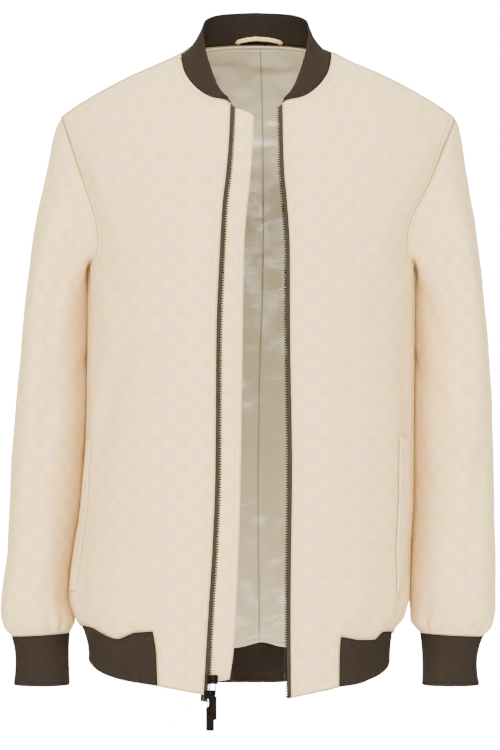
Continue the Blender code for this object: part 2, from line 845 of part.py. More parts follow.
def collar_lines(fronts, back):
    """Points along the neck seam and along the collar's upper edge, from the right tip to the left."""
    front_right = [Vector(p) for p in fronts["right"][0][0][: FRONT_NECK_COLUMNS + 1]]
    front_left = [Vector(p) for p in fronts["left"][0][0][: FRONT_NECK_COLUMNS + 1]]
    start = BACK_SHOULDER_COLUMNS
    back_line = [Vector(p) for p in back[0][0][start : start + 2 * BACK_NECK_COLUMNS + 1]]
    seam = front_right + back_line[::-1][1:-1] + front_left[::-1]
    seam = [p + (NECK_MIDDLE - p).normalized() * (SEAM_GAP + COLLAR_CLEAR) for p in seam]
    shares = collar_shares()
    top = []
    for i, share in enumerate(shares):
        sign = -1 if 2 * i < len(shares) else 1
        x = NECK_CENTRE + sign * COLLAR_TOP["distance"](share)
        top.append(Vector((x, COLLAR_TOP["depth"](share), COLLAR_TOP["height"](share))))
    return seam, top


def collar_shares():
    """How far along the collar each of its columns lies, from a front tip (0) to centre back (1)."""
    half = [NECK_FRONT_SHARE * i / FRONT_NECK_COLUMNS for i in range(FRONT_NECK_COLUMNS + 1)]
    half += [blend(NECK_FRONT_SHARE, 1, i / BACK_NECK_COLUMNS) for i in range(1, BACK_NECK_COLUMNS + 1)]
    return half + half[-2::-1]


def collar_middle(seam, top, normals):
    """The row halfway up the collar, bulged outwards at the front and back and drawn in at the sides."""
    bulges = [COLLAR_TOP["bulge"](share) for share in collar_shares()]
    return [a.lerp(b, 0.5) + n * bulge for a, b, n, bulge in zip(seam, top, normals, bulges)]


def collar_normals(seam, top):
    normals = []
    last = len(seam) - 1
    for i in range(last + 1):
        along = seam[min(i + 1, last)] - seam[max(i - 1, 0)] + top[min(i + 1, last)] - top[max(i - 1, 0)]
        normals.append((top[i] - seam[i]).cross(along).normalized())
    return normals


def make_collar(fronts, back):
    seam, top = collar_lines(fronts, back)
    normals = collar_normals(seam, top)
    rows = (seam, collar_middle(seam, top, normals), top)
    rib_band("collar_rib", rows, (normals, normals, normals), (0.0, 0.0, 0.0), False)
    return seam, top, normals


def hem_normal(angle):
    turn = math.radians(angle)
    return Vector((math.sin(turn), -math.cos(turn), 0))


def make_hem_rib(fronts, back):
    """The band under the panels, from the right front's tab round the back to the left front's tab."""
    row = ARMHOLE_ROWS + SIDE_ROWS
    right = [Vector(p) for p in fronts["right"][0][row][TAB_COLUMNS:]]
    left = [Vector(p) for p in fronts["left"][0][row][TAB_COLUMNS:]]
    seam = right + [Vector(p) for p in back[0][row][::-1][1:-1]] + left[::-1]
    seam = [p - Vector((0, 0, SEAM_GAP)) for p in seam]
    right_angles = [blend(-FRONT_TAB_RIGHT, -90, i / (len(right) - 1)) for i in range(len(right))]
    left_angles = [blend(90, FRONT_TAB_LEFT, i / (len(left) - 1)) - 360 for i in range(len(left))]
    back_columns = len(back[0][0]) - 1
    back_angles = [blend(-90, -270, i / back_columns) for i in range(1, back_columns)]
    angles = right_angles + back_angles + left_angles
    angles[0] -= RIB_END_TURN
    angles[-1] += RIB_END_TURN
    seam[0] = Vector(body_point(angles[0], seam[0].z))
    seam[-1] = Vector(body_point(angles[-1], seam[-1].z))
    rows, normals = [seam], [[hem_normal(a) for a in angles]]
    for share in (RIB_MIDDLE, 1.0):
        line = []
        for point, angle in zip(seam, angles):
            height = blend(point.z, hem_end(angle), share)
            line.append(Vector(body_point(angle, height)))
        rows.append(line)
        normals.append(normals[0])
    rib_band("hem_rib", rows, normals, (-RIB_SET_IN, -RIB_SET_IN, -RIB_SET_IN), False)


def make_cuff(side, sleeve):
    last = [Vector(p) for p in sleeve[0][-1]]
    rows = [[p - Vector((0, 0, SEAM_GAP)) for p in last]]
    for height in (CUFF_ROWS[1][0], CUFF_ROWS[2][0]):
        outer, inner = CUFF[side + "_outer"](height), CUFF[side + "_inner"](height)
        half_depth = CUFF["half_depth"](height)
        line = []
        for column in range(2 * ARMHOLE_ROWS):
            turn = math.pi * column / ARMHOLE_ROWS
            x = (outer + inner) / 2 + (outer - inner) / 2 * math.cos(turn)
            y = SLEEVE["middle"](SLEEVE_ROWS[-1][0]) - half_depth * math.sin(turn)
            line.append(Vector((x, y, height)))
        rows.append(line)
    normals = []
    for line in rows:
        centre = sum(line, Vector()) / len(line)
        outward = [Vector((p.x - centre.x, p.y - centre.y, 0)).normalized() for p in line]
        normals.append(outward + outward[:1])
        line.append(line[0])
    rib_band("cuff_" + side, rows, normals, (0.0, CUFF_BULGE, 0.0), True)


def point_at(grid, row, column):
    """A point between the points of a grid, at fractions of a row and a column."""
    r, c = min(int(row), len(grid) - 2), min(int(column), len(grid[0]) - 2)
    upper = Vector(grid[r][c]).lerp(Vector(grid[r][c + 1]), column - c)
    lower = Vector(grid[r + 1][c]).lerp(Vector(grid[r + 1][c + 1]), column - c)
    return upper.lerp(lower, row - r)


def inward_normals(grid):
    """At each point of a panel's grid, the way out of the cloth into the hollow body."""
    last_row, last_column = len(grid) - 1, len(grid[0]) - 1
    normals = []
    for r in range(last_row + 1):
        line = []
        for c in range(last_column + 1):
            down = Vector(grid[min(r + 1, last_row)][c]) - Vector(grid[max(r - 1, 0)][c])
            along = Vector(grid[r][min(c + 1, last_column)]) - Vector(grid[r][max(c - 1, 0)])
            line.append(down.cross(along).normalized())
        normals.append(line)
    middle = Vector(grid[last_row // 2][last_column // 2])
    way = normals[last_row // 2][last_column // 2]
    sign = 1 if way.x * middle.x + way.y * middle.y < 0 else -1
    return [[normal * sign for normal in line] for line in normals]


def make_back_lining(back):
    """Follows the back's inner side and hangs past the hem seam in soft waves."""
    skin = back[1]
    normals = inward_normals(skin)
    first, last = BACK_SHOULDER_COLUMNS, BACK_SHOULDER_COLUMNS + 2 * BACK_NECK_COLUMNS
    end = len(skin) - 1
    places, depths = [], []
    for r in range(end + 2):
        line, depth_line = [], []
        for c in range(len(skin[0])):
            beside = min(max(c, LINING_SIDE), len(skin[0]) - 1 - LINING_SIDE)
            here = point_at(skin, min(r, end), beside if r < end else c)
            wave = LINING_WAVE * (c % 2)
            depth = LINING_CLEAR
            if r == 0:
                drop = BAND_TOP + BAND_DEPTH + SEAM_GAP if first < c < last else SEAM_GAP
                here += (Vector(skin[1][c]) - here).normalized() * drop
            if r >= end:
                depth = LINING_OVER_RIB + wave * LINING_WAVE_START
            if r > end:
                depth += LINING_STEP_IN + wave * (1 - LINING_WAVE_START)
                here.z -= LINING_PAST_SEAM
            line.append(here + normals[min(r, end)][c] * depth)
            depth_line.append(normals[min(r, end)][c] * LINING)
        places.append(line)
        depths.append(depth_line)
    inner = [[p + d for p, d in zip(*lines)] for lines in zip(places, depths)]
    wall("back_lining", places, inner, "satin_lining")
    skins = []
    for depth in (LINING_CLEAR, LINING_CLEAR + BAND):
        grid = []
        for drop in (BAND_TOP, BAND_TOP + BAND_DEPTH):
            line = []
            for c in range(first + 1, last):
                down = (Vector(skin[1][c]) - Vector(skin[0][c])).normalized()
                line.append(Vector(skin[0][c]) + down * drop + normals[0][c] * depth)
            grid.append(line)
        skins.append(grid)
    wall("lining_neck_band", *skins, "satin_lining")


def make_hanger_loop(seam, top, normals):
    """A narrow strip arched across the inside of the collar's back."""
    middle = len(seam) // 2
    skins = []
    for thick in (0.0, LOOP_THICK):
        grid = []
        for edge in (-0.5, 0.5):
            line = []
            for i in range(LOOP_STEPS + 1):
                share = i / LOOP_STEPS
                place = middle + blend(*LOOP_REACH, share)
                cell = int(place)
                part = place - cell
                base = seam[cell].lerp(seam[cell + 1], part)
                upper = top[cell].lerp(top[cell + 1], part)
                inward = -normals[cell].lerp(normals[cell + 1], part)
                arch = math.sin(math.pi * share) ** 0.6
                rise = LOOP_FOOT + LOOP_RISE * arch + LOOP_WIDTH * edge * (0.6 + 0.4 * arch)
                lean = (upper - base).normalized() * rise
                line.append(base + lean + inward * (RIB_KNIT + LOOP_CLEAR + LOOP_ARCH * arch + thick))
            grid.append(line)
        skins.append(grid)
    wall("hanger_loop", *skins, "wool_cloth")


def guard_inset(height):
    """The wind guard lies behind the zip tape, and further in behind the sliders."""
    return GUARD_INSET + GUARD_SET_BACK * smooth_step((GUARD_SLIDERS_TOP - height) / GUARD_SLIDERS_REACH)


def make_wind_guard(edge_heights):
    """Rows at the heights of the front's own rows, so that it keeps clear of the tape along them."""
    lowest, highest = GUARD_END + GUARD_ROW_CLEAR, GUARD_TOP - GUARD_ROW_CLEAR
    levels = [height for height in edge_heights if lowest < height < highest]
    levels = [GUARD_TOP, *levels, GUARD_END]
    skins = []
    for thick in (0.0, GUARD):
        grid = []
        for level in levels:
            line = []
            for c in range(GUARD_ACROSS + 1):
                share = c / GUARD_ACROSS
                top = GUARD_TOP - GUARD_CORNER * share**3
                end = GUARD_END + GUARD_END_CORNER * share**2
                height = blend(top, end, (GUARD_TOP - level) / (GUARD_TOP - GUARD_END))
                x = blend(EDGE["right"](height) - GUARD_SET_IN, GUARD_EDGE["edge"](height), share)
                line.append(body_point(body_angle(x, height), height, guard_inset(height) + thick))
            grid.append(line)
        skins.append(grid)
    wall("wind_guard", *skins, "wool_cloth")


def make_zip_tape(side, front, end):
    """A strip sewn under the front's edge, thicker along its free edge where the teeth are."""
    rows = [(Vector(inner[0]), Vector(inner[1])) for inner in front[1]]
    below = rows[-1][0] - rows[-2][0]
    past = below * ((rows[-1][0].z - end) / -below.z)
    rows.append((rows[-1][0] + past, rows[-1][1] + past))
    reach = (TAPE_HIDDEN, -TAPE_SHOWN, -TAPE_SHOWN - TEETH_RISE, -TAPE_SHOWN - TEETH_RISE - TEETH_WIDTH)
    swell = (TAPE / 2, TAPE / 2, TEETH / 2, TEETH / 2)
    skins, teeth = ([], []), []
    for edge, beside in rows:
        along = (beside - edge).normalized()
        inward = Vector((-along.y, along.x, 0)).normalized()
        inward *= 1 if inward.y > 0 else -1
        middle = edge + inward * (TAPE_CLEAR + TEETH / 2)
        for skin, way in zip(skins, (-1, 1)):
            skin.append([middle + along * across + inward * way * half for across, half in zip(reach, swell)])
        teeth.append(middle + along * (reach[2] + reach[3]) / 2)
    wall("zip_tape_" + side, *skins, "zip_tape")
    return teeth


def place_between(values, target):
    """The fraction of an index at which a rising or falling list reaches the target."""
    for i, (a, b) in enumerate(zip(values, values[1:])):
        if min(a, b) <= target <= max(a, b):
            return i + (target - a) / (b - a)
    return len(values) - 1.0


def make_pocket_welt(side, front):
    """A strip moved out from the front's own points beside the pocket opening."""
    near, far, top, end = POCKETS[side]
    skin = front[0]
    places = front_grid(side)[: ARMHOLE_ROWS + SIDE_ROWS + 1]
    start = place_between([line[-2][1] for line in places], top)
    stop = place_between([line[-2][1] for line in places], end)
    rows = [start, *range(math.ceil(start), math.floor(stop) + 1), stop]
    normals = inward_normals(skin[: len(places)])
    skins = ([], [])
    flat = [[(*place, 0) for place in line] for line in places]
    for row in rows:
        angles = [point_at(flat, row, c).x for c in range(len(flat[0]))]
        from_column, to_column = place_between(angles, near), place_between(angles, far)
        columns = [blend(from_column, to_column, i / WELT_COLUMNS) for i in range(WELT_COLUMNS + 1)]
        for layer, lift in zip(skins, (WELT_CLEAR + WELT, WELT_CLEAR)):
            layer.append([point_at(skin, row, c) - point_at(normals, row, c) * lift for c in columns])
    wall("pocket_welt_" + side, *skins, "wool_cloth")


def box(size, centre):
    """A bmesh box from a cube, in millimetres."""
    mesh = bmesh.new()
    bmesh.ops.create_cube(mesh, size=1.0)
    bmesh.ops.scale(mesh, vec=Vector(size) * MM, verts=mesh.verts)
    bmesh.ops.translate(mesh, vec=Vector(centre) * MM, verts=mesh.verts)
    return mesh


def as_cutter(name, mesh):
    piece = add_object(name, mesh, "zip_metal")
    PARTS.objects.unlink(piece)
    CUTTERS.objects.link(piece)
    piece.hide_render = True
    piece.display_type = "WIRE"
    return piece


def boolean(piece, operation, other):
    modifier = piece.modifiers.new(operation.lower() + "_" + other.name, "BOOLEAN")
    modifier.operation = operation
    modifier.object = other


def wire(name, points, radius, cyclic):
    """A round wire through points, as a closed mesh with welded caps."""
    curve = bpy.data.curves.new(name, "CURVE")
    curve.dimensions = "3D"
    curve.bevel_depth = radius * MM
    curve.bevel_resolution = 2
    curve.use_fill_caps = True
    spline = curve.splines.new("POLY")
    spline.points.add(len(points) - 1)
    for knot, point in zip(spline.points, points):
        knot.co = (*(Vector(point) * MM), 1)
    spline.use_cyclic_u = cyclic
    guide = bpy.data.objects.new(name, curve)
    CUTTERS.objects.link(guide)
    data = bpy.data.meshes.new_from_object(guide.evaluated_get(bpy.context.evaluated_depsgraph_get()))
    bpy.data.objects.remove(guide, do_unlink=True)
    mesh = bmesh.new()
    mesh.from_mesh(data)
    bmesh.ops.remove_doubles(mesh, verts=mesh.verts, dist=0.00001)
    return mesh


def make_slider(name, teeth, height, past, stand_off):
    """A slider round the teeth: two plates joined beyond them, with a bail on its front plate."""
    place = place_between([p.z for p in teeth], height)
    x, y, _ = point_at([[p, p] for p in teeth], place, 0)
    x += past
    body = add_object(name, box((SLIDER_WIDTH, SLIDER_DEPTH, SLIDER_HEIGHT), (x, y, height)), "zip_metal")
    rounding = body.modifiers.new("rounding", "BEVEL")
    rounding.width = SLIDER_ROUNDING * MM
    rounding.segments = 1
    channel = SLIDER_DEPTH - 2 * SLIDER_PLATE
    cutter = box((SLIDER_WIDTH, channel, SLIDER_HEIGHT * 2), (x - SLIDER_WALL, y, height))
    boolean(body, "DIFFERENCE", as_cutter(name + "_channel", cutter))
    front = y - SLIDER_DEPTH / 2
    low = height - SLIDER_HEIGHT / 2 + BAIL_WIRE
    high = height + SLIDER_HEIGHT / 2 - BAIL_WIRE
    rise = stand_off + BAIL_ROOT
    arch = []
    for i in range(BAIL_STEPS + 1):
        turn = math.pi * i / BAIL_STEPS
        forward = rise * math.sin(turn) ** BAIL_SQUARENESS
        arch.append((x, front + BAIL_ROOT - forward, blend(high, low, (1 - math.cos(turn)) / 2)))
    boolean(body, "UNION", as_cutter(name + "_bail", wire(name + "_bail", arch, BAIL_WIRE, False)))
    return Vector((x, front, low))


def tab_outline(top):
    """A rounded oblong seen from the front, hung below the height given."""
    outline = []
    for i in range(4 * TAB_CORNER_STEPS):
        quarter, step = divmod(i, TAB_CORNER_STEPS)
        turn = math.pi / 2 * (quarter + step / (TAB_CORNER_STEPS - 1))
        side = (1, -1, -1, 1)[quarter]
        end = (1, 1, -1, -1)[quarter]
        across = side * (TAB_WIDTH / 2 - TAB_CORNER) + TAB_CORNER * math.cos(turn)
        along = end * (TAB_LENGTH / 2 - TAB_CORNER) + TAB_CORNER * math.sin(turn)
        outline.append((across, along + top - TAB_LENGTH / 2))
    return outline


def make_pull(name, axis, link_length):
    """A wire link through the slider's bail with a tab below, hung from the joint's axis."""
    link = []
    for i in range(LINK_STEPS):
        turn = 2 * math.pi * i / LINK_STEPS
        c, s = math.cos(turn), math.sin(turn)
        size = (abs(c) ** LINK_SQUARENESS + abs(s) ** LINK_SQUARENESS) ** (-1 / LINK_SQUARENESS)
        link.append((LINK_WIDTH / 2 * size * s, 0, link_length / 2 * (size * c - 1)))
    tab = bmesh.new()
    low = [tab.verts.new(Vector((a, -TAB_THICK / 2, z)) * MM) for a, z in tab_outline(TAB_LAP - link_length)]
    raised = bmesh.ops.extrude_face_region(tab, geom=[tab.faces.new(low)])
    top = [v for v in raised["geom"] if isinstance(v, bmesh.types.BMVert)]
    bmesh.ops.translate(tab, vec=Vector((0, TAB_THICK * MM, 0)), verts=top)
    piece = add_object(name, tab, "zip_metal")
    piece.location = axis * MM
    ring = as_cutter(name + "_link", wire(name + "_link", link, PULL_WIRE, True))
    ring.location = axis * MM
    boolean(piece, "UNION", ring)


def make_zip(fronts):
    teeth = make_zip_tape("right", fronts["right"], ZIP_END_RIGHT)
    make_zip_tape("left", fronts["left"], ZIP_END_LEFT)
    rise = BAIL_WIRE + PULL_WIRE + PULL_CLEAR
    for name, sizes in SLIDERS.items():
        foot = make_slider("zip_slider_" + name, teeth, sizes["height"], sizes["past"], sizes["stand_off"])
        make_pull("pull_tab_" + name, foot + Vector((0, -sizes["pivot"], rise)), sizes["link"])


def clear_scene():
    for piece in list(bpy.data.objects):
        bpy.data.objects.remove(piece, do_unlink=True)


def main():
    fronts = make_fronts()
    back = make_back()
    for side in ("right", "left"):
        sleeve = make_sleeve(side, fronts, back)
        make_cuff(side, sleeve)
        make_pocket_welt(side, fronts[side])
    seam, top, normals = make_collar(fronts, back)
    make_hanger_loop(seam, top, normals)
    make_hem_rib(fronts, back)
    make_back_lining(back)
    make_wind_guard([height for (_, height), *_ in front_grid("right")])
    make_zip(fronts)


clear_scene()
PARTS = bpy.data.collections.new("bomber_jacket")
CUTTERS = bpy.data.collections.new("cutters")
for collection in (PARTS, CUTTERS):
    bpy.context.scene.collection.children.link(collection)
MATERIALS = {name: make_material(name, *look) for name, look in COLOURS.items()}
main()
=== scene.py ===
"""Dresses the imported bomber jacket: cloth, rib knit, satin lining, zip, stitching and studio."""

import bisect
import math

import bmesh
import bpy
import numpy as np
from mathutils import Color, Matrix, Vector, noise


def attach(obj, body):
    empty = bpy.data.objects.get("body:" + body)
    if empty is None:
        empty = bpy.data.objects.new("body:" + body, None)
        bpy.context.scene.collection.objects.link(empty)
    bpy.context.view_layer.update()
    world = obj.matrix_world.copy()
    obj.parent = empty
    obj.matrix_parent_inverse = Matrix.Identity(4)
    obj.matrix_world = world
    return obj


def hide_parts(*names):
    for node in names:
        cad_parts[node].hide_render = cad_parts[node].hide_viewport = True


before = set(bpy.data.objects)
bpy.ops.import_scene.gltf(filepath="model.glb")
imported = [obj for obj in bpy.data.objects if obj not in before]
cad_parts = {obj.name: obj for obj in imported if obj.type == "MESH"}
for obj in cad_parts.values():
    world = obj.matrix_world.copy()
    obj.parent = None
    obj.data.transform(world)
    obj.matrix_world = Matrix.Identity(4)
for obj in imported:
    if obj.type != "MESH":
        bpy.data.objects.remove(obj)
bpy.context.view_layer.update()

bl_info = {
    "name": "Bomber Jacket Dressing",
    "version": (1, 0, 0),
    "blender": (4, 5, 0),
    "location": "View3D > Sidebar > Jacket",
    "description": "Builds the cloth, knit, lining, zip and stitching of an open bomber jacket",
    "category": "Object",
}

MAIN_BODY = "jacket"
MM = 0.001


def monotone_curve(places, values):
    """A smooth function through the values that never swings past them."""
    steps = [b - a for a, b in zip(places, places[1:])]
    slopes = [(b - a) / step for a, b, step in zip(values, values[1:], steps)]
    tangents = [slopes[0]]
    for before, after in zip(slopes, slopes[1:]):
        same_way = before * after > 0
        tangents.append(2 * before * after / (before + after) if same_way else 0.0)
    tangents.append(slopes[-1])

    def value(place):
        place = min(max(place, places[0]), places[-1])
        i = min(bisect.bisect_right(places, place) - 1, len(steps) - 1)
        step = steps[i]
        t = (place - places[i]) / step
        from_values = values[i] * (1 + 2 * t) * (1 - t) ** 2 + values[i + 1] * t * t * (3 - 2 * t)
        from_slopes = tangents[i] * t * (1 - t) ** 2 - tangents[i + 1] * t * t * (1 - t)
        return from_values + step * from_slopes

    return value


def table(columns, rows):
    """The named columns of a table, each a smooth function of the first."""
    rows = sorted(rows)
    places = [row[0] for row in rows]
    return {name: monotone_curve(places, [row[i] for row in rows]) for i, name in enumerate(columns) if i}


# Sizes and form, as in the solids

# Cloth and knit
CLOTH = 2.0
SEAM_GAP = 0.3
RIB_KNIT = 2.6
BAND = 1.0
TEETH = 2.6
GUARD = 1.4
WELT = 1.6

# Shape of the body
SQUARENESS = 2.4
SHOULDER_CENTRE = 1.0
NECK_CENTRE = -0.8
SHOULDER_HALF = 225.0
FRONT_ROUNDING = 130.0
BACK_ROUNDING = 90.0
UNDERARM = -250.0
FRONT_TAB_RIGHT = 30.4
FRONT_TAB_LEFT = 38.0

# Rows and columns of the panels
ARMHOLE_ROWS = 72
SIDE_ROWS = 60
SIDE_CROWDING = 0.9
TAB_ROWS = 12
TAB_COLUMNS = 18
FRONT_NECK_COLUMNS = 30
FRONT_COLUMNS = 60
BACK_SHOULDER_COLUMNS = 24
BACK_NECK_COLUMNS = 24
TOP_BEND = 0.42
BOTTOM_BEND = 0.25

BODY = table(("height", "right", "left", "front", "back"), (
    (30, 246, 250, 80, 122),
    (-2, 242, 246, 86, 126),
    (-60, 238, 243, 90, 134),
    (-80, 234, 239, 98, 136),
    (-120, 226, 228, 114, 137),
    (-150, 216, 216, 124, 136),
    (-203, 199, 190, 132, 134),
    (-250, 192, 181, 134, 131),
    (-400, 193, 179, 134, 128),
    (-515, 199, 178, 134, 128),
    (-575, 209, 175, 135, 130),
    (-625, 214, 174, 135, 132),
    (-650, 207, 168, 133, 131),
    (-664, 199, 157, 131, 128),
    (-690, 194, 154, 129.5, 126),
    (-740, 192, 153, 128.5, 123),
))

# Height of the shoulder ridge at a distance from its middle. Inside the neck it only steers the form.
RIDGE = table(
    ("distance", "height"),
    ((0, 27), (30, 25.5), (60, 17), (87, -2), (144, -28), (196, -56), (226, -77), (250, -105)),
)

# The front edges, beside the zip
EDGE = table(("height", "right", "left"), (
    (-61, -29.8, 29.5),
    (-100, -31, 29.8),
    (-140, -34, 31),
    (-180, -38.5, 34.5),
    (-230, -41.5, 37.3),
    (-330, -45.5, 37.8),
    (-480, -46.6, 40),
    (-560, -49.5, 39),
    (-640, -54.5, 38.4),
    (-735, -60, 39),
))

# The neck seam: share of its length from the front tip to the shoulder, then from there to centre back
NECK_FRONT = table(("share", "distance", "height"), (
    (0, 29.5, -64.5),
    (0.04, 33.5, -61),
    (0.2, 52, -56.6),
    (0.4, 72, -42),
    (0.6, 83, -24),
    (0.8, 86.2, -9),
    (1, 86.7, -2),
))
NECK_BACK = table(
    ("share", "distance", "height"),
    ((0, 86.7, -2), (0.25, 78, 4), (0.5, 58, 9.5), (0.75, 30, 12.7), (1, 0, 13.5)),
)

# The armhole seam from the shoulder point (0) to the underarm (1)
ARMHOLE = table(("share", "angle", "height"), (
    (0, 68, -77),
    (0.235, 63, -115),
    (0.4, 61.4, -150),
    (0.627, 60.8, -203),
    (0.765, 66, -235),
    (1, 90, UNDERARM),
))

# The seam between the panels and the hem rib, and the rib's lower edge, at an angle from centre front
HEM = table(("angle", "seam_right", "seam_left", "end_right", "end_left"), (
    (30, -659, -666, -721.5, -724),
    (38, -661, -666, -719, -723),
    (47, -669, -670, -716, -721),
    (56, -663, -671, -712, -716),
    (62, -657.5, -663, -709, -713),
    (75, -657, -664, -702, -706),
    (90, -660, -668, -697.5, -699),
    (110, -662, -667, -704, -705),
    (132, -668, -670, -718, -718),
    (152, -673.5, -673.5, -729.5, -729.5),
    (168, -676.3, -676.3, -733.8, -733.8),
    (180, -676.6, -676.6, -734, -734),
))
RIB_SET_IN = 0.2
RIB_MIDDLE = 0.45
RIB_END_TURN = 0.25

# Lowest edge of each front: at the zip and at the hem rib
TAB_ENDS = {"right": (-730.0, -721.5), "left": (-734.0, -723.5)}

# The collar's upper edge from the front tip (0) to centre back (1), and how far the band bulges below it
COLLAR_TOP = table(("share", "distance", "depth", "height", "bulge"), (
    (0, 33.3, -85, -57, 1),
    (0.09, 41.5, -80, -46, 1.5),
    (0.2, 48.8, -70, -29, 1),
    (0.31, 55, -56, -10, -0.5),
    (0.41, 58.8, -38, 6, -2.5),
    (0.54, 61.8, -10, 25, -3.8),
    (0.65, 59.8, 14, 37, -2),
    (0.78, 46, 38, 46, 1),
    (0.9, 24, 48, 49, 2),
    (1, 0, 51, 50, 2),
))
NECK_FRONT_SHARE = 0.525
NECK_MIDDLE = Vector((NECK_CENTRE, -10, 45))
COLLAR_CLEAR = 0.15

# Sleeves: heights of each ring's outer and inner point, where its middle lies and how deep it is
SLEEVE_ROWS = (
    (0, -77, UNDERARM, 0, 62, 0),
    (1, -84, -255, 2, 64, 0.07),
    (2, -97, -260, 4, 67, 0.32),
    (3, -118, -266, 7, 70, 0.55),
    (4, -150, -274, 10, 73, 0.8),
    (5, -195, -288, 13, 75, 1),
    (6, -255, -312, 16, 75, 1),
    (7, -325, -350, 18, 73, 1),
    (8, -400, -408, 20, 70, 1),
    (9, -475, -478, 20, 67, 1),
    (10, -545, -546, 18, 64, 1),
    (11, -600, -600, 14, 61, 1),
    (12, -635, -635, 9, 56, 1),
    (13, -656, -654, 5, 49, 1),
    (14, -671, -668, 3, 36, 1),
)
SLEEVE = table(("ring", "outer", "inner", "middle", "half_depth", "own_form"), SLEEVE_ROWS)
SLEEVE_OUTER = table(("height", "right", "left"), (
    (-77, -224, 226),
    (-84, -229.5, 230.5),
    (-107, -237.5, 236.5),
    (-141, -243, 242),
    (-176, -249, 246.6),
    (-228, -256, 252.4),
    (-285, -262, 258),
    (-348, -267.4, 264),
    (-400, -273, 267.4),
    (-458, -278, 269.6),
    (-515, -281, 271),
    (-573, -283.5, 272),
    (-607, -288, 272.4),
    (-642, -291.5, 273),
    (-659, -288, 269),
    (-672, -280, 259),
))
SLEEVE_INNER = table(("height", "right", "left"), (
    (UNDERARM, -193, 182),
    (-300, -193.8, 182),
    (-400, -195.2, 180.8),
    (-515, -201, 179.8),
    (-575, -211, 178.4),
    (-610, -215.4, 177.2),
    (-625, -216.2, 177.4),
    (-640, -213.5, 178),
    (-655, -211, 179),
    (-668, -216, 189),
))
SLEEVE_TUCK = 0.2
SLEEVE_EASE = 2.2
SLEEVE_GAP = 0.6
SLEEVE_SQUARENESS = 2.2

# Cuffs: each ring's height, outer and inner sides on the right and the left arm, and half depth
CUFF_ROWS = (
    (-671.5, -277.5, -216.5, 255.5, 190.5, 33.5),
    (-700, -277.5, -215.5, 254, 190.5, 33.5),
    (-728, -280, -214.5, 257, 190, 34),
)
CUFF = table(("height", "right_outer", "right_inner", "left_outer", "left_inner", "half_depth"), CUFF_ROWS)

# The wind guard's free edge
GUARD_EDGE = table(("height", "edge"), (
    (-79, -3),
    (-118, -4.7),
    (-231, -14.3),
    (-370, -16.5),
    (-510, -18.7),
    (-637, -23.2),
    (-678, -26),
    (-713, -31),
))
GUARD_TOP = -68.5
GUARD_END = -717.0
GUARD_SET_IN = 12.0

# Zip
ZIP_END_RIGHT = -738.0
ZIP_END_LEFT = -733.0
TAPE_HIDDEN = 4.0
TAPE_SHOWN = 3.7
TEETH_WIDTH = 2.6
TEETH_RISE = 0.2
TAPE_CLEAR = 0.3

# Lining, loop and wind guard
BAND_TOP = 0.5
BAND_DEPTH = 6.2
LINING_CLEAR = 0.75
LINING_OVER_RIB = 1.8
LOOP_THICK = 1.2
LOOP_STEPS = 18
LOOP_FOOT = 1.5
LOOP_RISE = 8.5
LOOP_CLEAR = 0.4
LOOP_ARCH = 8.4
GUARD_INSET = 5.2
GUARD_SET_BACK = 4.0
GUARD_ACROSS = 4
GUARD_CORNER = 10.0
GUARD_END_CORNER = 4.0
GUARD_SLIDERS_TOP = -668.0
GUARD_SLIDERS_REACH = 34.0
WELT_CLEAR = 0.8
WELT_COLUMNS = 3

# Pocket welts: angles of the opening edge and of the far edge, and heights
POCKETS = {"right": (-67.0, -77.5, -446.0, -618.0), "left": (59.5, 69.5, -441.0, -618.0)}

# Soft folds: angle at the upper and at the lower end, the two heights, half width in degrees, rise
FOLD_ROWS = (
    (-50, -52, -90, -215, 6, 2.5),
    (-44, -66, -315, -480, 7, -5),
    (-60, -76, -360, -560, 7, 4),
    (52, 55, -90, -215, 6, 2.5),
    (60, 74, -300, -470, 8, -3),
    (130, 132, -110, -330, 7, 3),
    (228, 230, -110, -330, 7, 3),
    (112, 104, -330, -600, 8, 3),
    (248, 256, -330, -600, 8, 3),
)
GATHER_RISE = 1.6
GATHER_REACH = 45.0
RIM_TURN_START = 0.72

# Sizes that only the finished surfaces have

NECK_STITCH = 6.0
ZIP_STITCH = 7.5
ARMHOLE_STITCH = 6.5
HEM_STITCH = 5.0
SEAM_SETTLE = 4.0
STITCH_PITCH = 3.6
STITCH_LENGTH = 2.7
STITCH_WIDTH = 0.5
STITCH_FLATNESS = 0.7
STITCH_LIFT = 0.05
STITCH_MARK = 6.0
FAR_OFF = 40.0
LINING_HEM_STITCH = 6.0
RIB_PITCH_FINE = 2.1
RIB_COLUMNS = 4
RIB_FINE_DEPTH = 0.55
BAND_ROWS = 9
SLEEVE_RINGS = 126
SLEEVE_CROWDING = 1.05
GUARD_ROWS_FINE = 130
LOOP_COLUMNS = 4
NECK_BAND_ROWS = 4
LINING_THIN = 0.6
TAPE_THIN = 0.7
TOOTH_PITCH = 2.9
TOOTH_SHARE = 0.56
TOOTH_ROUND = 0.28
TOOTH_PLAY = 0.2
TAPE_UNDER_TEETH = 0.6
FINER = 6
CHECK_START = {"right": 0.0035, "left": 0.011}
CHECK_REPEAT = 0.0295
CHECK_RISE = 0.004
WELD = 0.00001

# How cloth and facings have settled: size in millimetres of the soft bumps, and their rise
PANEL_SOFTNESS = (46, 0.7)
SLEEVE_SOFTNESS = (52, 1.0)
LINING_SOFTNESS = (38, 0.5)
GUARD_SOFTNESS = (40, 0.45)

# How fast ridges fade towards their ends
FOLD_FADE = 0.8
CREASE_FADE = 1.2
SLEEVE_FADE = 1.1

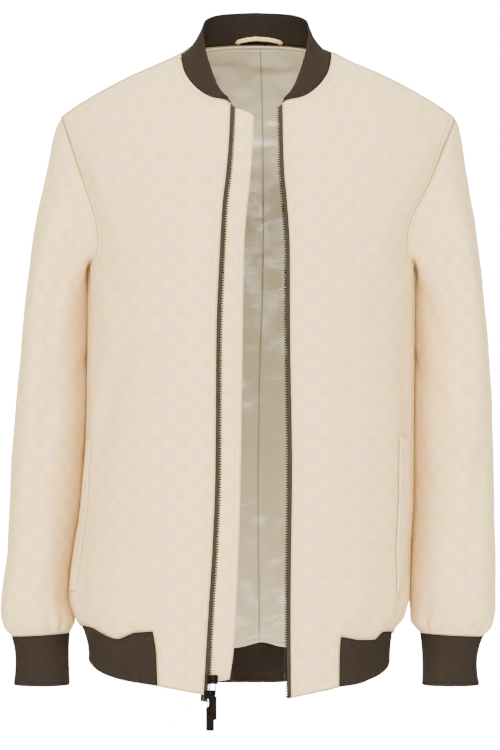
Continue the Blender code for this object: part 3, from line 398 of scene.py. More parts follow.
# Small creases of the body: angle at the upper and lower end, the two heights, half width in degrees, rise
CREASE_ROWS = (
    (-52, -46, -120, -260, 3.0, 2.0),
    (-60, -38, -235, -330, 4.5, -2.1),
    (-63, -47, -255, -390, 3.5, 1.8),
    (50, 44, -120, -250, 3.0, 1.8),
    (60, 40, -240, -340, 4.0, -1.8),
    (-34, -31, -520, -655, 4.0, -1.8),
    (-66, -58, -560, -660, 3.5, -2.7),
    (-73, -68, -575, -660, 3.0, 2.7),
    (62, 57, -565, -662, 3.5, 2.4),
    (70, 66, -555, -664, 3.0, -2.7),
    (44, 40, -560, -668, 4.0, 1.5),
    (118, 136, -240, -420, 6.0, -3.6),
    (242, 224, -240, -420, 6.0, -3.6),
    (150, 165, -150, -330, 8.0, -2.4),
    (206, 196, -200, -380, 8.0, 2.7),
    (170, 160, -420, -640, 7.0, 2.7),
    (196, 208, -430, -650, 7.0, -2.7),
    (112, 118, -520, -665, 4.0, 3.0),
    (252, 243, -510, -660, 4.0, 3.0),
    (140, 146, -560, -668, 5.0, -2.4),
)

# Creases of the sleeves: turn from the outer side over the front at both ends, first and last ring, half
# width in degrees, rise
SLEEVE_CREASES = {
    "right": (
        (118, 96, 2.0, 9.5, 15, -5.7),
        (72, 66, 1.2, 8.0, 13, 3.2),
        (150, 60, 6.0, 10.5, 14, -3.5),
        (60, 140, 7.5, 11.0, 12, 3.0),
        (110, 78, 9.5, 13.2, 12, -3.2),
        (60, 50, 10.5, 13.6, 10, 2.4),
        (140, 132, 10.8, 13.6, 10, 2.7),
        (285, 250, 2.0, 8.0, 16, -4.6),
        (230, 290, 6.5, 12.0, 15, 4.1),
        (350, 20, 4.5, 9.5, 16, -2.7),
        (330, 345, 9.0, 13.4, 12, 2.4),
    ),
    "left": (
        (130, 104, 1.5, 6.5, 14, -4.1),
        (158, 118, 4.0, 8.0, 12, -4.9),
        (66, 58, 1.4, 8.5, 13, 3.8),
        (150, 70, 6.0, 10.0, 13, 3.2),
        (50, 110, 8.0, 12.0, 13, -3.2),
        (96, 84, 10.5, 13.6, 11, 3.2),
        (140, 138, 11.0, 13.6, 10, -3.0),
        (285, 250, 2.0, 8.0, 16, -4.6),
        (230, 290, 6.5, 12.0, 15, 4.1),
        (350, 20, 4.5, 9.5, 16, -2.7),
        (330, 345, 9.0, 13.4, 12, 2.4),
    ),
}

# Lengths of the knitted bands, and finer counts and places
COLLAR_LENGTH = 470.0
HEM_LENGTH = 680.0
CUFF_LENGTH = 205.0
HEM_COLUMNS_FINE = 260
LINING_TOP_ROWS = 10
LINING_HEM_ROWS = 5
LINING_CREASE = -386.0
LINING_HEM_DROP = 17.0
LINING_HEM_ARCH = (8.0, 18.0, 8.0)

# The lining's pleat: how far it lies from the middle at a height
PLEAT = table(
    ("height", "x"),
    ((10, 5.5), (-106, 8.5), (-224, 8.5), (-386, 4.3), (-519, 2.9), (-684, 4.3), (-720, 4.3)),
)

# Slack folds of the lining: x and height at both ends, half width, rise
LINING_FOLDS = (
    (-48, -8, -24, -46, 5.0, 1.8),
    (-38, -16, -10, -62, 4.0, 1.5),
    (-18, -30, 2, -40, 3.5, -1.4),
    (9, -22, 46, -34, 4.0, 2.2),
    (11, -36, 50, -60, 4.0, -1.6),
    (40, -12, 18, -80, 5.0, 1.5),
    (-30, -70, 4, -140, 6.0, 1.6),
    (44, -90, 12, -170, 6.0, 1.6),
    (-28, -220, 2, -300, 7.0, 1.4),
    (40, -260, 8, -350, 7.0, 1.4),
    (-24, -380, -4, -470, 6.0, 1.5),
    (38, -410, 10, -520, 6.0, -1.6),
    (44, -520, 16, -620, 5.0, 2.2),
    (50, -560, 26, -668, 4.0, 2.0),
    (-22, -540, 0, -640, 5.0, -1.8),
    (-30, -600, 6, -676, 5.0, 2.0),
    (2, -654, 38, -638, 4.0, 2.0),
    (8, -672, 44, -660, 3.5, 1.6),
)
LOOP_SPAN = (-0.74, 1.02)
LOOP_SQUARENESS = 0.42
LOOP_STRIP = 5.0
BAND_RISE = 1.2
GUARD_STITCH = 6.5
WELT_STITCH = 3.0

# Studio, in metres and watts
FLOOR = -1.47
STAGE_HALF = 6.0
STAGE_FRONT = 6.5
STAGE_BACK = 3.2
STAGE_CURVE = 1.6
STAGE_HEIGHT = 5.5
STAGE_STEPS = 12
CAMERA_DISTANCE = 5.0
CAMERA_X = -0.0075
CAMERA_Z = -0.3715
VIEW_HEIGHT = 0.8625
SENSOR_HEIGHT = 36.0
WORLD_STRENGTH = 0.6
# Lights: name, place, aim, size, power, colour and spread in degrees
LIGHTS = (
    ("front_panel", (-0.1, -4.9, 1.3), (0.0, 0.0, -0.42), (2.2, 1.5), 440.0, (1.0, 0.965, 0.9), 180),
    ("key_panel", (-2.3, -3.3, 0.9), (0.0, 0.0, -0.35), (1.8, 1.8), 150.0, (1.0, 0.965, 0.9), 180),
    ("fill_panel", (2.4, -2.8, 0.3), (0.0, 0.0, -0.4), (2.4, 2.0), 90.0, (1.0, 0.975, 0.93), 180),
    ("top_panel", (0.0, 0.3, 2.2), (0.0, 0.0, -0.3), (2.0, 1.6), 120.0, (1.0, 1.0, 1.0), 180),
    ("back_wash", (0.0, 1.3, 2.4), (0.0, 3.2, -0.2), (4.0, 1.0), 900.0, (1.0, 1.0, 1.0), 70),
)

# Colours
CLOTH_COLOUR = "#E0C28E"
BLOCK_COLOUR = "#DBBC95"
BAND_COLOUR = "#E3C68A"
FLECK_COLOUR = "#BA9E70"
# Painted shade: the cloth is darkened towards this colour right beside its seams, where shade falls in the
# seam.
SEAM_SHADE_COLOUR = "#B39C74"
RIB_COLOUR = "#15100C"
# Real lighter fibres of the knit, and painted light on the ribs' tops against painted shade in the hollows
# between them.
RIB_FLECK_AND_RIDGE_LIGHT_COLOUR = "#2C241D"
LINING_COLOUR = "#B6AC8D"
# Painted sheen: the satin is painted this lighter shade on the crests of its rumples.
LINING_CREST_SHEEN_COLOUR = "#C4BA9A"
LINING_SHADE_COLOUR = "#5E563F"
TAPE_COLOUR = "#211913"
TAPE_LIGHT_COLOUR = "#30261D"
METAL_COLOUR = "#0D0B09"
METAL_WORN_COLOUR = "#1C1815"
THREAD_COLOUR = "#E2C893"
FLOOR_COLOUR = "#F0EFED"
FLOOR_LIGHT_COLOUR = "#F4F3F1"


def blend(low, high, share):
    return low + (high - low) * share


def smooth_step(share):
    share = min(max(share, 0.0), 1.0)
    return share * share * (3 - 2 * share)


def side_sign(side):
    return -1 if side == "right" else 1


# The body's surface


def body_section(height):
    right = BODY["right"](height)
    left = BODY["left"](height)
    return (left - right) / 2, (left + right) / 2, BODY["front"](height), BODY["back"](height)


def ridge_height(x):
    return RIDGE["height"](abs(x - SHOULDER_CENTRE))


def body_angle(x, height):
    """The angle at which the front of the body passes over x."""
    centre, half, _, _ = body_section(height)
    across = min(max((x - centre) / half, -1), 1)
    forward = (1 - abs(across) ** SQUARENESS) ** (1 / SQUARENESS)
    return math.degrees(math.atan2(across, forward))


def ridges(rows, angle, place, fade):
    """The rise of soft ridges and troughs at a point, each laid from one angle and place to another."""
    turn = angle % 360
    rise = 0.0
    for first_angle, last_angle, first, last, half_width, most in rows:
        share = (first - place) / (first - last)
        if 0 < share < 1:
            away = (turn - blend(first_angle, last_angle, share) + 180) % 360 - 180
            rise += most * math.exp(-((away / half_width) ** 2)) * math.sin(math.pi * share) ** fade
    return rise


def body_point(angle, height, inset=0.0):
    """A point of the body's surface, or of one that lies inset millimetres inside it."""
    turn = math.radians(angle)
    across, forward = math.sin(turn), math.cos(turn)
    reach = (abs(across) ** SQUARENESS + abs(forward) ** SQUARENESS) ** (-1 / SQUARENESS)
    centre, half, front, back = body_section(height)
    rounding = FRONT_ROUNDING if forward >= 0 else BACK_ROUNDING
    over = centre + half * reach * across
    share = min(max((ridge_height(over) - height) / rounding, 0.0), 1.0)
    swell = math.sqrt(1 - (1 - share) ** 2)
    inset = inset - ridges(FOLD_ROWS, angle, height, FOLD_FADE) * smooth_step(share * 3)
    depth = (front if forward >= 0 else back) - inset
    x = centre + (half - inset) * reach * across
    y = -depth * reach * forward * swell
    return x, y, height - inset * (1 - share)


def halves_apart(point, angle):
    """Moves a panel's point half a seam gap away from the side and shoulder seams."""
    x, y, z = point
    forward = math.cos(math.radians(angle))
    return x, y + (SEAM_GAP / 2 if forward < -1e-6 else -SEAM_GAP / 2), z


# Outlines of the panels as (angle, height)


def neck_half(columns, part, side):
    """The neck seam on one side, from the front tip or from the shoulder."""
    points = []
    for column in range(columns + 1):
        share = column / columns
        x = NECK_CENTRE + side_sign(side) * part["distance"](share)
        height = min(part["height"](share), ridge_height(x))
        angle = body_angle(x, height)
        points.append((angle if part is NECK_FRONT else 180 - angle, height))
    return points


def shoulder_line(columns, side, back):
    """The shoulder seam from the neck to the shoulder point."""
    start = NECK_CENTRE + side_sign(side) * NECK_FRONT["distance"](1)
    end = SHOULDER_CENTRE + side_sign(side) * SHOULDER_HALF
    points = []
    for column in range(columns + 1):
        x = blend(start, end, column / columns)
        height = ridge_height(x)
        angle = body_angle(x, height)
        points.append((180 - angle if back else angle, height))
    return points


def armhole_line(side, back):
    """The armhole seam from the shoulder point to the underarm."""
    top_angle, top_height = shoulder_line(1, side, False)[1]
    points = []
    for row in range(ARMHOLE_ROWS + 1):
        share = row / ARMHOLE_ROWS
        height = ARMHOLE["height"](share)
        angle = side_sign(side) * ARMHOLE["angle"](share)
        if row == 0:
            angle, height = top_angle, top_height
        points.append((180 - angle if back else angle, height))
    return points


def side_heights(end):
    return [blend(UNDERARM, end, (row / SIDE_ROWS) ** SIDE_CROWDING) for row in range(1, SIDE_ROWS + 1)]


def hem_seam(angle):
    """Height of the seam between the panels and the hem rib."""
    turn = (angle + 180) % 360 - 180
    return HEM["seam_right" if turn < 0 else "seam_left"](abs(turn))


def hem_end(angle):
    """Height of the hem rib's lower edge."""
    turn = (angle + 180) % 360 - 180
    return HEM["end_right" if turn < 0 else "end_left"](abs(turn))


def ruled_patch(top, bottom, first, last):
    """A grid of (angle, height) ruled between its side edges, bent near the top and bottom to meet those."""
    columns, rows = len(top) - 1, len(first) - 1
    grid = []
    for r in range(rows + 1):
        v = r / rows
        top_bend, bottom_bend = 1 - smooth_step(v / TOP_BEND), smooth_step((v - 1) / BOTTOM_BEND + 1)
        line = []
        for c in range(columns + 1):
            u = c / columns
            point = []
            for k in (0, 1):
                ruled = blend(first[r][k], last[r][k], u)
                upper = top[c][k] - blend(top[0][k], top[-1][k], u)
                lower = bottom[c][k] - blend(bottom[0][k], bottom[-1][k], u)
                point.append(ruled + upper * top_bend + lower * bottom_bend)
            line.append(tuple(point))
        grid.append(line)
    return grid


def front_grid(side):
    """(angle, height) of a front panel, with the rows of its tab down to the hem."""
    sign = side_sign(side)
    tab_angle = sign * (FRONT_TAB_RIGHT if side == "right" else FRONT_TAB_LEFT)
    seam = hem_seam(tab_angle)
    shoulder = shoulder_line(FRONT_COLUMNS - FRONT_NECK_COLUMNS, side, False)
    top = neck_half(FRONT_NECK_COLUMNS, NECK_FRONT, side) + shoulder[1:]
    last = armhole_line(side, False)
    last += [(sign * 90, height) for height in side_heights(hem_seam(sign * 90))]
    first = []
    for row in range(len(last)):
        if row <= ARMHOLE_ROWS:
            height = blend(top[0][1], UNDERARM, row / ARMHOLE_ROWS)
        else:
            height = blend(UNDERARM, seam, ((row - ARMHOLE_ROWS) / SIDE_ROWS) ** SIDE_CROWDING)
        first.append((body_angle(EDGE[side](height), height), height))
    bottom = []
    for column in range(FRONT_COLUMNS + 1):
        if column <= TAB_COLUMNS:
            angle = blend(first[-1][0], tab_angle, column / TAB_COLUMNS)
            bottom.append((angle, seam))
        else:
            share = (column - TAB_COLUMNS) / (FRONT_COLUMNS - TAB_COLUMNS)
            angle = blend(tab_angle, sign * 90, share)
            bottom.append((angle, hem_seam(angle)))
    grid = ruled_patch(top, bottom, first, last)
    for row in range(1, TAB_ROWS + 1):
        share = row / TAB_ROWS
        line = []
        for column in range(FRONT_COLUMNS + 1):
            if column > TAB_COLUMNS:
                line.append(None)
                continue
            end = tab_end(side, column / TAB_COLUMNS)
            height = blend(seam, end, share)
            edge = body_angle(EDGE[side](height), height)
            line.append((blend(edge, tab_angle, column / TAB_COLUMNS), height))
        grid.append(line)
    return grid


def tab_end(side, share):
    """Height of a front's lowest edge, from the zip (0) to the hem rib (1)."""
    return blend(*TAB_ENDS[side], share)


def back_grid():
    left, right = armhole_line("left", True), armhole_line("right", True)
    left += [(90, height) for height in side_heights(hem_seam(90))]
    right = [(angle % 360, height) for angle, height in right]
    right += [(270, height) for height in side_heights(hem_seam(270))]
    shoulder_left = shoulder_line(BACK_SHOULDER_COLUMNS, "left", True)
    shoulder_right = [(a % 360, h) for a, h in shoulder_line(BACK_SHOULDER_COLUMNS, "right", True)]
    neck_left = neck_half(BACK_NECK_COLUMNS, NECK_BACK, "left")
    neck_right = [(a % 360, h) for a, h in neck_half(BACK_NECK_COLUMNS, NECK_BACK, "right")]
    top = shoulder_left[::-1] + neck_left[1:] + neck_right[-2::-1] + shoulder_right[1:]
    columns = len(top) - 1
    bottom = []
    for column in range(columns + 1):
        angle = blend(90, 270, column / columns)
        bottom.append((angle, hem_seam(angle)))
    return ruled_patch(top, bottom, left, right)


def armhole_inner(angle, height, row):
    """The inner point of a wall at the armhole: its rim turns upward towards the underarm."""
    turn = smooth_step((row / ARMHOLE_ROWS - RIM_TURN_START) / (1 - RIM_TURN_START))
    x, y, z = body_point(angle, height, CLOTH * (1 - turn))
    return x, y, z + CLOTH * turn


def sleeve_ring(side, place, inset):
    """A ring of the sleeve's own form, from its outer point over the front and back again."""
    sign = side_sign(side)
    outer_z, inner_z = SLEEVE["outer"](place), SLEEVE["inner"](place)
    outer = Vector((SLEEVE_OUTER[side](outer_z), 0, outer_z))
    inner = Vector((SLEEVE_INNER[side](inner_z), 0, inner_z))
    middle = (outer + inner) / 2
    reach = (outer - inner) / 2
    reach *= 1 - inset / reach.length
    half_depth = SLEEVE["half_depth"](place) - inset
    points = []
    for column in range(2 * ARMHOLE_ROWS):
        turn = math.pi * column / ARMHOLE_ROWS
        c, s = math.cos(turn), math.sin(turn)
        size = (abs(c) ** SLEEVE_SQUARENESS + abs(s) ** SLEEVE_SQUARENESS) ** (-1 / SLEEVE_SQUARENESS)
        y = -half_depth * size * s
        point = middle + reach * size * c
        tuck = -sign * SLEEVE_TUCK * y * smooth_step((place - 2) / 5)
        points.append(Vector((point.x + tuck, y + SLEEVE["middle"](place), point.z)))
    return points


def armhole_loop(side, front, back, skin):
    """The panels' armhole edges as one loop: down the front and up the back."""
    column = 0 if side == "left" else len(back[skin][0]) - 1
    down = [front[skin][row][FRONT_COLUMNS] for row in range(ARMHOLE_ROWS + 1)]
    up = [back[skin][row][column] for row in range(ARMHOLE_ROWS - 1, 0, -1)]
    return [Vector(point) for point in down + up]


def sleeve_spreads(side, outer, inner):
    """At each point of the armhole seam, the way across it from the body into the sleeve."""
    spreads = []
    for column, point in enumerate(outer):
        along = outer[(column + 1) % len(outer)] - outer[column - 1]
        spreads.append(side_sign(side) * along.cross(inner[column] - point).normalized())
    return spreads


def collar_lines(fronts, back):
    """Points along the neck seam and along the collar's upper edge, from the right tip to the left."""
    front_right = [Vector(p) for p in fronts["right"][0][0][: FRONT_NECK_COLUMNS + 1]]
    front_left = [Vector(p) for p in fronts["left"][0][0][: FRONT_NECK_COLUMNS + 1]]
    start = BACK_SHOULDER_COLUMNS
    back_line = [Vector(p) for p in back[0][0][start : start + 2 * BACK_NECK_COLUMNS + 1]]
    seam = front_right + back_line[::-1][1:-1] + front_left[::-1]
    seam = [p + (NECK_MIDDLE - p).normalized() * (SEAM_GAP + COLLAR_CLEAR) for p in seam]
    shares = collar_shares()
    top = []
    for i, share in enumerate(shares):
        sign = -1 if 2 * i < len(shares) else 1
        x = NECK_CENTRE + sign * COLLAR_TOP["distance"](share)
        top.append(Vector((x, COLLAR_TOP["depth"](share), COLLAR_TOP["height"](share))))
    return seam, top


def collar_shares():
    """How far along the collar each of its columns lies, from a front tip (0) to centre back (1)."""
    half = [NECK_FRONT_SHARE * i / FRONT_NECK_COLUMNS for i in range(FRONT_NECK_COLUMNS + 1)]
    half += [blend(NECK_FRONT_SHARE, 1, i / BACK_NECK_COLUMNS) for i in range(1, BACK_NECK_COLUMNS + 1)]
    return half + half[-2::-1]


def collar_middle(seam, top, normals):
    """The row halfway up the collar, bulged outwards at the front and back and drawn in at the sides."""
    bulges = [COLLAR_TOP["bulge"](share) for share in collar_shares()]
    return [a.lerp(b, 0.5) + n * bulge for a, b, n, bulge in zip(seam, top, normals, bulges)]


def collar_normals(seam, top):
    normals = []
    last = len(seam) - 1
    for i in range(last + 1):
        along = seam[min(i + 1, last)] - seam[max(i - 1, 0)] + top[min(i + 1, last)] - top[max(i - 1, 0)]
        normals.append((top[i] - seam[i]).cross(along).normalized())
    return normals


def hem_normal(angle):
    turn = math.radians(angle)
    return Vector((math.sin(turn), -math.cos(turn), 0))


def point_at(grid, row, column):
    """A point between the points of a grid, at fractions of a row and a column."""
    r, c = min(int(row), len(grid) - 2), min(int(column), len(grid[0]) - 2)
    upper = Vector(grid[r][c]).lerp(Vector(grid[r][c + 1]), column - c)
    lower = Vector(grid[r + 1][c]).lerp(Vector(grid[r + 1][c + 1]), column - c)
    return upper.lerp(lower, row - r)


def inward_normals(grid):
    """At each point of a panel's grid, the way out of the cloth into the hollow body."""
    last_row, last_column = len(grid) - 1, len(grid[0]) - 1
    normals = []
    for r in range(last_row + 1):
        line = []
        for c in range(last_column + 1):
            down = Vector(grid[min(r + 1, last_row)][c]) - Vector(grid[max(r - 1, 0)][c])
            along = Vector(grid[r][min(c + 1, last_column)]) - Vector(grid[r][max(c - 1, 0)])
            line.append(down.cross(along).normalized())
        normals.append(line)
    middle = Vector(grid[last_row // 2][last_column // 2])
    way = normals[last_row // 2][last_column // 2]
    sign = 1 if way.x * middle.x + way.y * middle.y < 0 else -1
    return [[normal * sign for normal in line] for line in normals]


def guard_inset(height):
    """The wind guard lies behind the zip tape, and further in behind the sliders."""
    return GUARD_INSET + GUARD_SET_BACK * smooth_step((GUARD_SLIDERS_TOP - height) / GUARD_SLIDERS_REACH)


def place_between(values, target):
    """The fraction of an index at which a rising or falling list reaches the target."""
    for i, (a, b) in enumerate(zip(values, values[1:])):
        if min(a, b) <= target <= max(a, b):
            return i + (target - a) / (b - a)
    return len(values) - 1.0


# Finer form: waves, creases and unevenness that the plain solids leave out


def hem_waves(angle, height, seam):
    """Uneven gathers that the hem rib draws into the cloth, gone a hand's width above it."""
    above = max(height - seam, 0.0)
    turn = math.radians(angle)
    wave = math.sin(23 * turn + 2.0 * math.sin(5 * turn)) + 0.6 * math.sin(41 * turn + 1.3)
    wave += 0.8 * math.sin(13 * turn + 0.7)
    reach = GATHER_REACH * (0.55 + 0.3 * math.sin(9 * turn + 1.0))
    tuck = math.exp(-(((above - 7) / 9) ** 2))
    held = 0.12 + 0.88 * smooth_step(above / 9)
    return GATHER_RISE * held * (0.6 * wave * math.exp(-((above / reach) ** 2)) + 0.3 * wave * tuck)


def unevenness(point, size, rise):
    """The soft rise and fall of cloth that has been worn and pressed."""
    place = Vector(point) / size
    return rise * (noise.noise(place) + 0.5 * noise.noise(place * 2.3 + Vector((3.1, 1.7, 5.9))))


def panel_place(angle, height, inset):
    """A point of the finished cloth at an angle and height of the body."""
    seam = hem_seam(angle)
    turn = abs((angle + 180) % 360 - 180)
    lift = ridges(CREASE_ROWS, angle, height, CREASE_FADE)
    if turn > 30:
        lift += hem_waves(angle, height, seam) * smooth_step((turn - 30) / 10)
    plain = body_point(angle, height, inset)
    lift += unevenness(plain, *PANEL_SOFTNESS)
    return body_point(angle, height, inset - lift)


def panel_points(grid):
    """The cloth's outer points over a grid of (angle, height); its seams stay where the form puts them."""
    last_column = len(grid[0]) - 1
    points = []
    for r, line in enumerate(grid):
        points.append([])
        for c, place in enumerate(line):
            if place is None:
                points[-1].append(None)
                continue
            angle, height = place
            free = min(c, last_column - c, r) / SEAM_SETTLE
            plain = Vector(halves_apart(body_point(angle, height), angle))
            finished = Vector(halves_apart(panel_place(angle, height, 0.0), angle))
            points[-1].append(plain.lerp(finished, smooth_step(free)))
    return points


def inner_skin(grid):
    """The wall's inner points, whose rim at the armholes gives the sleeves their direction."""
    inner = []
    for r, line in enumerate(grid):
        row = []
        for c, place in enumerate(line):
            if place is None:
                row.append(None)
            elif r <= ARMHOLE_ROWS and c in (0, len(line) - 1):
                row.append(Vector(halves_apart(armhole_inner(*place, r), place[0])))
            else:
                row.append(Vector(halves_apart(body_point(*place, CLOTH), place[0])))
        inner.append(row)
    return inner


# Mesh tools


def seam_polyline(points, places):
    return np.array([tuple(points[r][c]) for r, c in places if points[r][c] is not None], float)


def distance_to(vertices, polyline):
    """Distance in millimetres from each vertex to a polyline."""
    best = np.full(len(vertices), 1e9)
    for a, b in zip(polyline, polyline[1:]):
        way = b - a
        length = max(float(way @ way), 1e-9)
        share = np.clip(((vertices - a) @ way) / length, 0, 1)
        best = np.minimum(best, np.linalg.norm(vertices - (a + share[:, None] * way), axis=1))
    return best


def surface_lengths(points, closed):
    """How far each point lies along its row and along its column, in metres, for the weave's UV map."""
    filled = [[p if p is not None else Vector((0, 0, 0)) for p in line] for line in points]
    array = np.array([[tuple(p) for p in line] for line in filled], float) * MM
    if closed:
        array = np.concatenate([array, array[:, :1]], axis=1)
    across = np.linalg.norm(np.diff(array, axis=1), axis=2)
    down = np.linalg.norm(np.diff(array, axis=0), axis=2)
    across = np.concatenate([np.zeros((len(array), 1)), np.cumsum(across, axis=1)], axis=1)
    down = np.concatenate([np.zeros((1, array.shape[1])), np.cumsum(down, axis=0)], axis=0)
    return across, down


def grid_mesh(points, closed=False, uv_from=(0.0, 0.0), uv_middle=False, heights=None, hung=False):
    """A sheet of quads from a grid operator, each vertex moved to its place, with a UV map in metres.

    The map of a hung sheet keeps the weave level: it runs up the form and starts from the body's middle.
    heights, if given, are kept on the vertices of each column as the attribute "rib".
    """
    rows = len(points) - 1
    columns = len(points[0]) - (0 if closed else 1)
    across, down = surface_lengths(points, closed)
    mesh = bmesh.new()
    bmesh.ops.create_grid(mesh, x_segments=columns, y_segments=rows, size=0.5)
    uv_layer = mesh.loops.layers.uv.verify()
    rib_layer = mesh.verts.layers.float.new("rib") if heights else None
    missing = []
    index = {}
    for vert in mesh.verts:
        c = round((vert.co.x + 0.5) * columns)
        r = round((0.5 - vert.co.y) * rows)
        index[vert] = (r, c)
        if heights:
            vert[rib_layer] = heights[c]
        place = points[r][c % len(points[0]) if closed else c]
        if place is None:
            missing.append(vert)
        else:
            vert.co = Vector(place) * MM
    for face in mesh.faces:
        for loop in face.loops:
            r, c = index[loop.vert]
            u = across[r][c] - (across[r][columns // 2] if uv_middle else 0.0)
            v = -down[r][c]
            if hung and points[r][c % len(points[0])] is not None:
                u += 0.0 if closed or uv_middle else abs(points[r][0].x) * MM
                v = points[r][c % len(points[0])].z * MM
            loop[uv_layer].uv = (uv_from[0] + u, uv_from[1] + v)
    if missing:
        bmesh.ops.delete(mesh, geom=missing, context="VERTS")
    if closed:
        bmesh.ops.remove_doubles(mesh, verts=mesh.verts, dist=WELD)
    return mesh


def finish_mesh(name, mesh, coat):
    """Turns a bmesh into a smooth piece that rides on the jacket.

    coat is the name of its finish.
    """
    data = bpy.data.meshes.new(name)
    mesh.to_mesh(data)
    mesh.free()
    data.materials.append(finish(coat))
    data.shade_smooth()
    piece = bpy.data.objects.new(name, data)
    bpy.context.scene.collection.objects.link(piece)
    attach(piece, MAIN_BODY)
    return piece


def declare(node, with_pieces=()):
    """Hides the solid that a piece built here stands for."""
    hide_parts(node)


def face_out(mesh, outward):
    """Flips a sheet whose faces look inwards; outward is a function of a face's centre."""
    votes = sum(1 if face.normal.dot(outward(face.calc_center_median())) > 0 else -1 for face in mesh.faces)
    if votes < 0:
        bmesh.ops.reverse_faces(mesh, faces=mesh.faces)


def away_from_body(centre):
    return Vector((centre.x, centre.y, 0))


def add_thickness(piece, thickness, offset=-1):
    """Gives a sheet its wall: behind its faces at an offset of -1, in front of them at 1."""
    solid = piece.modifiers.new("wall", "SOLIDIFY")
    solid.thickness = thickness * MM
    solid.offset = offset
    solid.use_rim = True


def mark_distances(piece, name, values):
    layer = piece.data.attributes.new(name, "FLOAT", "POINT")
    layer.data.foreach_set("value", np.asarray(values, np.float32))


def vertex_array(piece):
    array = np.zeros(len(piece.data.vertices) * 3, np.float32)
    piece.data.vertices.foreach_get("co", array)
    return array.reshape(-1, 3).astype(float) / MM


def mark_seams(piece, seams):
    """Stores, for the shader, how far the cloth lies from its seams and from its row of topstitching."""
    vertices = vertex_array(piece)
    seam = np.full(len(vertices), FAR_OFF)
    stitched = np.full(len(vertices), FAR_OFF)
    for line, stitch_at in seams:
        if len(line) < 2:
            continue
        away = distance_to(vertices, line)
        seam = np.minimum(seam, away)
        if stitch_at:
            stitched = np.minimum(stitched, away * STITCH_MARK / stitch_at)
    mark_distances(piece, "seam_mm", seam)
    mark_distances(piece, "stitch_mm", stitched)


def walk_in(points, starts, step, distance):
    """Points that lie a distance inside an edge, reached along the grid from each start."""
    path = []
    for r, c in starts:
        here = Vector(points[r][c])
        left = distance
        while True:
            r2, c2 = r + step[0], c + step[1]
            if not (0 <= r2 < len(points) and 0 <= c2 < len(points[0])) or points[r2][c2] is None:
                break
            there = Vector(points[r2][c2])
            gap = (there - here).length
            if gap >= left:
                here = here.lerp(there, left / gap)
                break
            left -= gap
            here, r, c = there, r2, c2
        path.append(here)
    return path


def resample(path, pitch):
    """Points a fixed pitch apart along a path."""
    out = []
    carried = 0.0
    for a, b in zip(path, path[1:]):
        length = (b - a).length
        while carried < length:
            out.append(a.lerp(b, carried / length))
            carried += pitch
        carried -= length
    return out


def sew(mesh, path, surface_normal, pitch, length):
    """A row of thread stitches along a path."""
    stops = resample(path, pitch)
    for a, b in zip(stops, stops[1:]):
        along = (b - a).normalized()
        out = surface_normal(a)
        side = along.cross(out).normalized()
        out = side.cross(along)
        middle = (a + b) / 2 + out * STITCH_LIFT
        turn = Matrix((along, side, out)).transposed().to_4x4()
        size = Matrix.Diagonal((length * MM, STITCH_WIDTH * MM, STITCH_WIDTH * STITCH_FLATNESS * MM, 1))
        place = Matrix.Translation(middle * MM) @ turn @ size
        bmesh.ops.create_icosphere(mesh, subdivisions=1, radius=0.5, matrix=place)


# Panels


def front_seams(points):
    row = ARMHOLE_ROWS + SIDE_ROWS
    last = FRONT_COLUMNS
    whole = range(len(points))
    return [
        (seam_polyline(points, [(0, c) for c in range(FRONT_NECK_COLUMNS + 1)]), NECK_STITCH),
        (seam_polyline(points, [(0, c) for c in range(FRONT_NECK_COLUMNS, last + 1)]), 0),
        (seam_polyline(points, [(r, 0) for r in whole]), ZIP_STITCH),
        (seam_polyline(points, [(r, last) for r in range(ARMHOLE_ROWS + 1)]), ARMHOLE_STITCH),
        (seam_polyline(points, [(r, last) for r in range(ARMHOLE_ROWS, row + 1)]), 0),
        (seam_polyline(points, [(row, c) for c in range(TAB_COLUMNS, last + 1)]), HEM_STITCH),
        (seam_polyline(points, [(r, TAB_COLUMNS) for r in range(row, len(points))]), HEM_STITCH),
        (seam_polyline(points, [(len(points) - 1, c) for c in range(TAB_COLUMNS + 1)]), 0),
    ]


def back_seams(points):
    row, last = ARMHOLE_ROWS + SIDE_ROWS, len(points[0]) - 1
    start, end = BACK_SHOULDER_COLUMNS, BACK_SHOULDER_COLUMNS + 2 * BACK_NECK_COLUMNS
    seams = [
        (seam_polyline(points, [(0, c) for c in range(start, end + 1)]), NECK_STITCH),
        (seam_polyline(points, [(0, c) for c in range(start + 1)]), 0),
        (seam_polyline(points, [(0, c) for c in range(end, last + 1)]), 0),
        (seam_polyline(points, [(row, c) for c in range(last + 1)]), HEM_STITCH),
    ]
    for c in (0, last):
        seams.append((seam_polyline(points, [(r, c) for r in range(ARMHOLE_ROWS + 1)]), ARMHOLE_STITCH))
        seams.append((seam_polyline(points, [(r, c) for r in range(ARMHOLE_ROWS, row + 1)]), 0))
    return seams


def build_front(side, points):
    mesh = grid_mesh(points, uv_from=(CHECK_START[side], CHECK_RISE), hung=True)
    face_out(mesh, away_from_body)
    piece = finish_mesh("front_%s_cloth" % side, mesh, "wool_cloth")
    mark_seams(piece, front_seams(points))
    add_thickness(piece, bpy.context.scene.jacket_sizes.cloth / MM)
    declare("front_" + side)


def build_back(points):
    mesh = grid_mesh(points, uv_from=(0.0, CHECK_RISE), uv_middle=True, hung=True)
    face_out(mesh, away_from_body)
    piece = finish_mesh("back_cloth", mesh, "wool_cloth")
    mark_seams(piece, back_seams(points))
    add_thickness(piece, bpy.context.scene.jacket_sizes.cloth / MM)
    declare("back")


# Sleeves


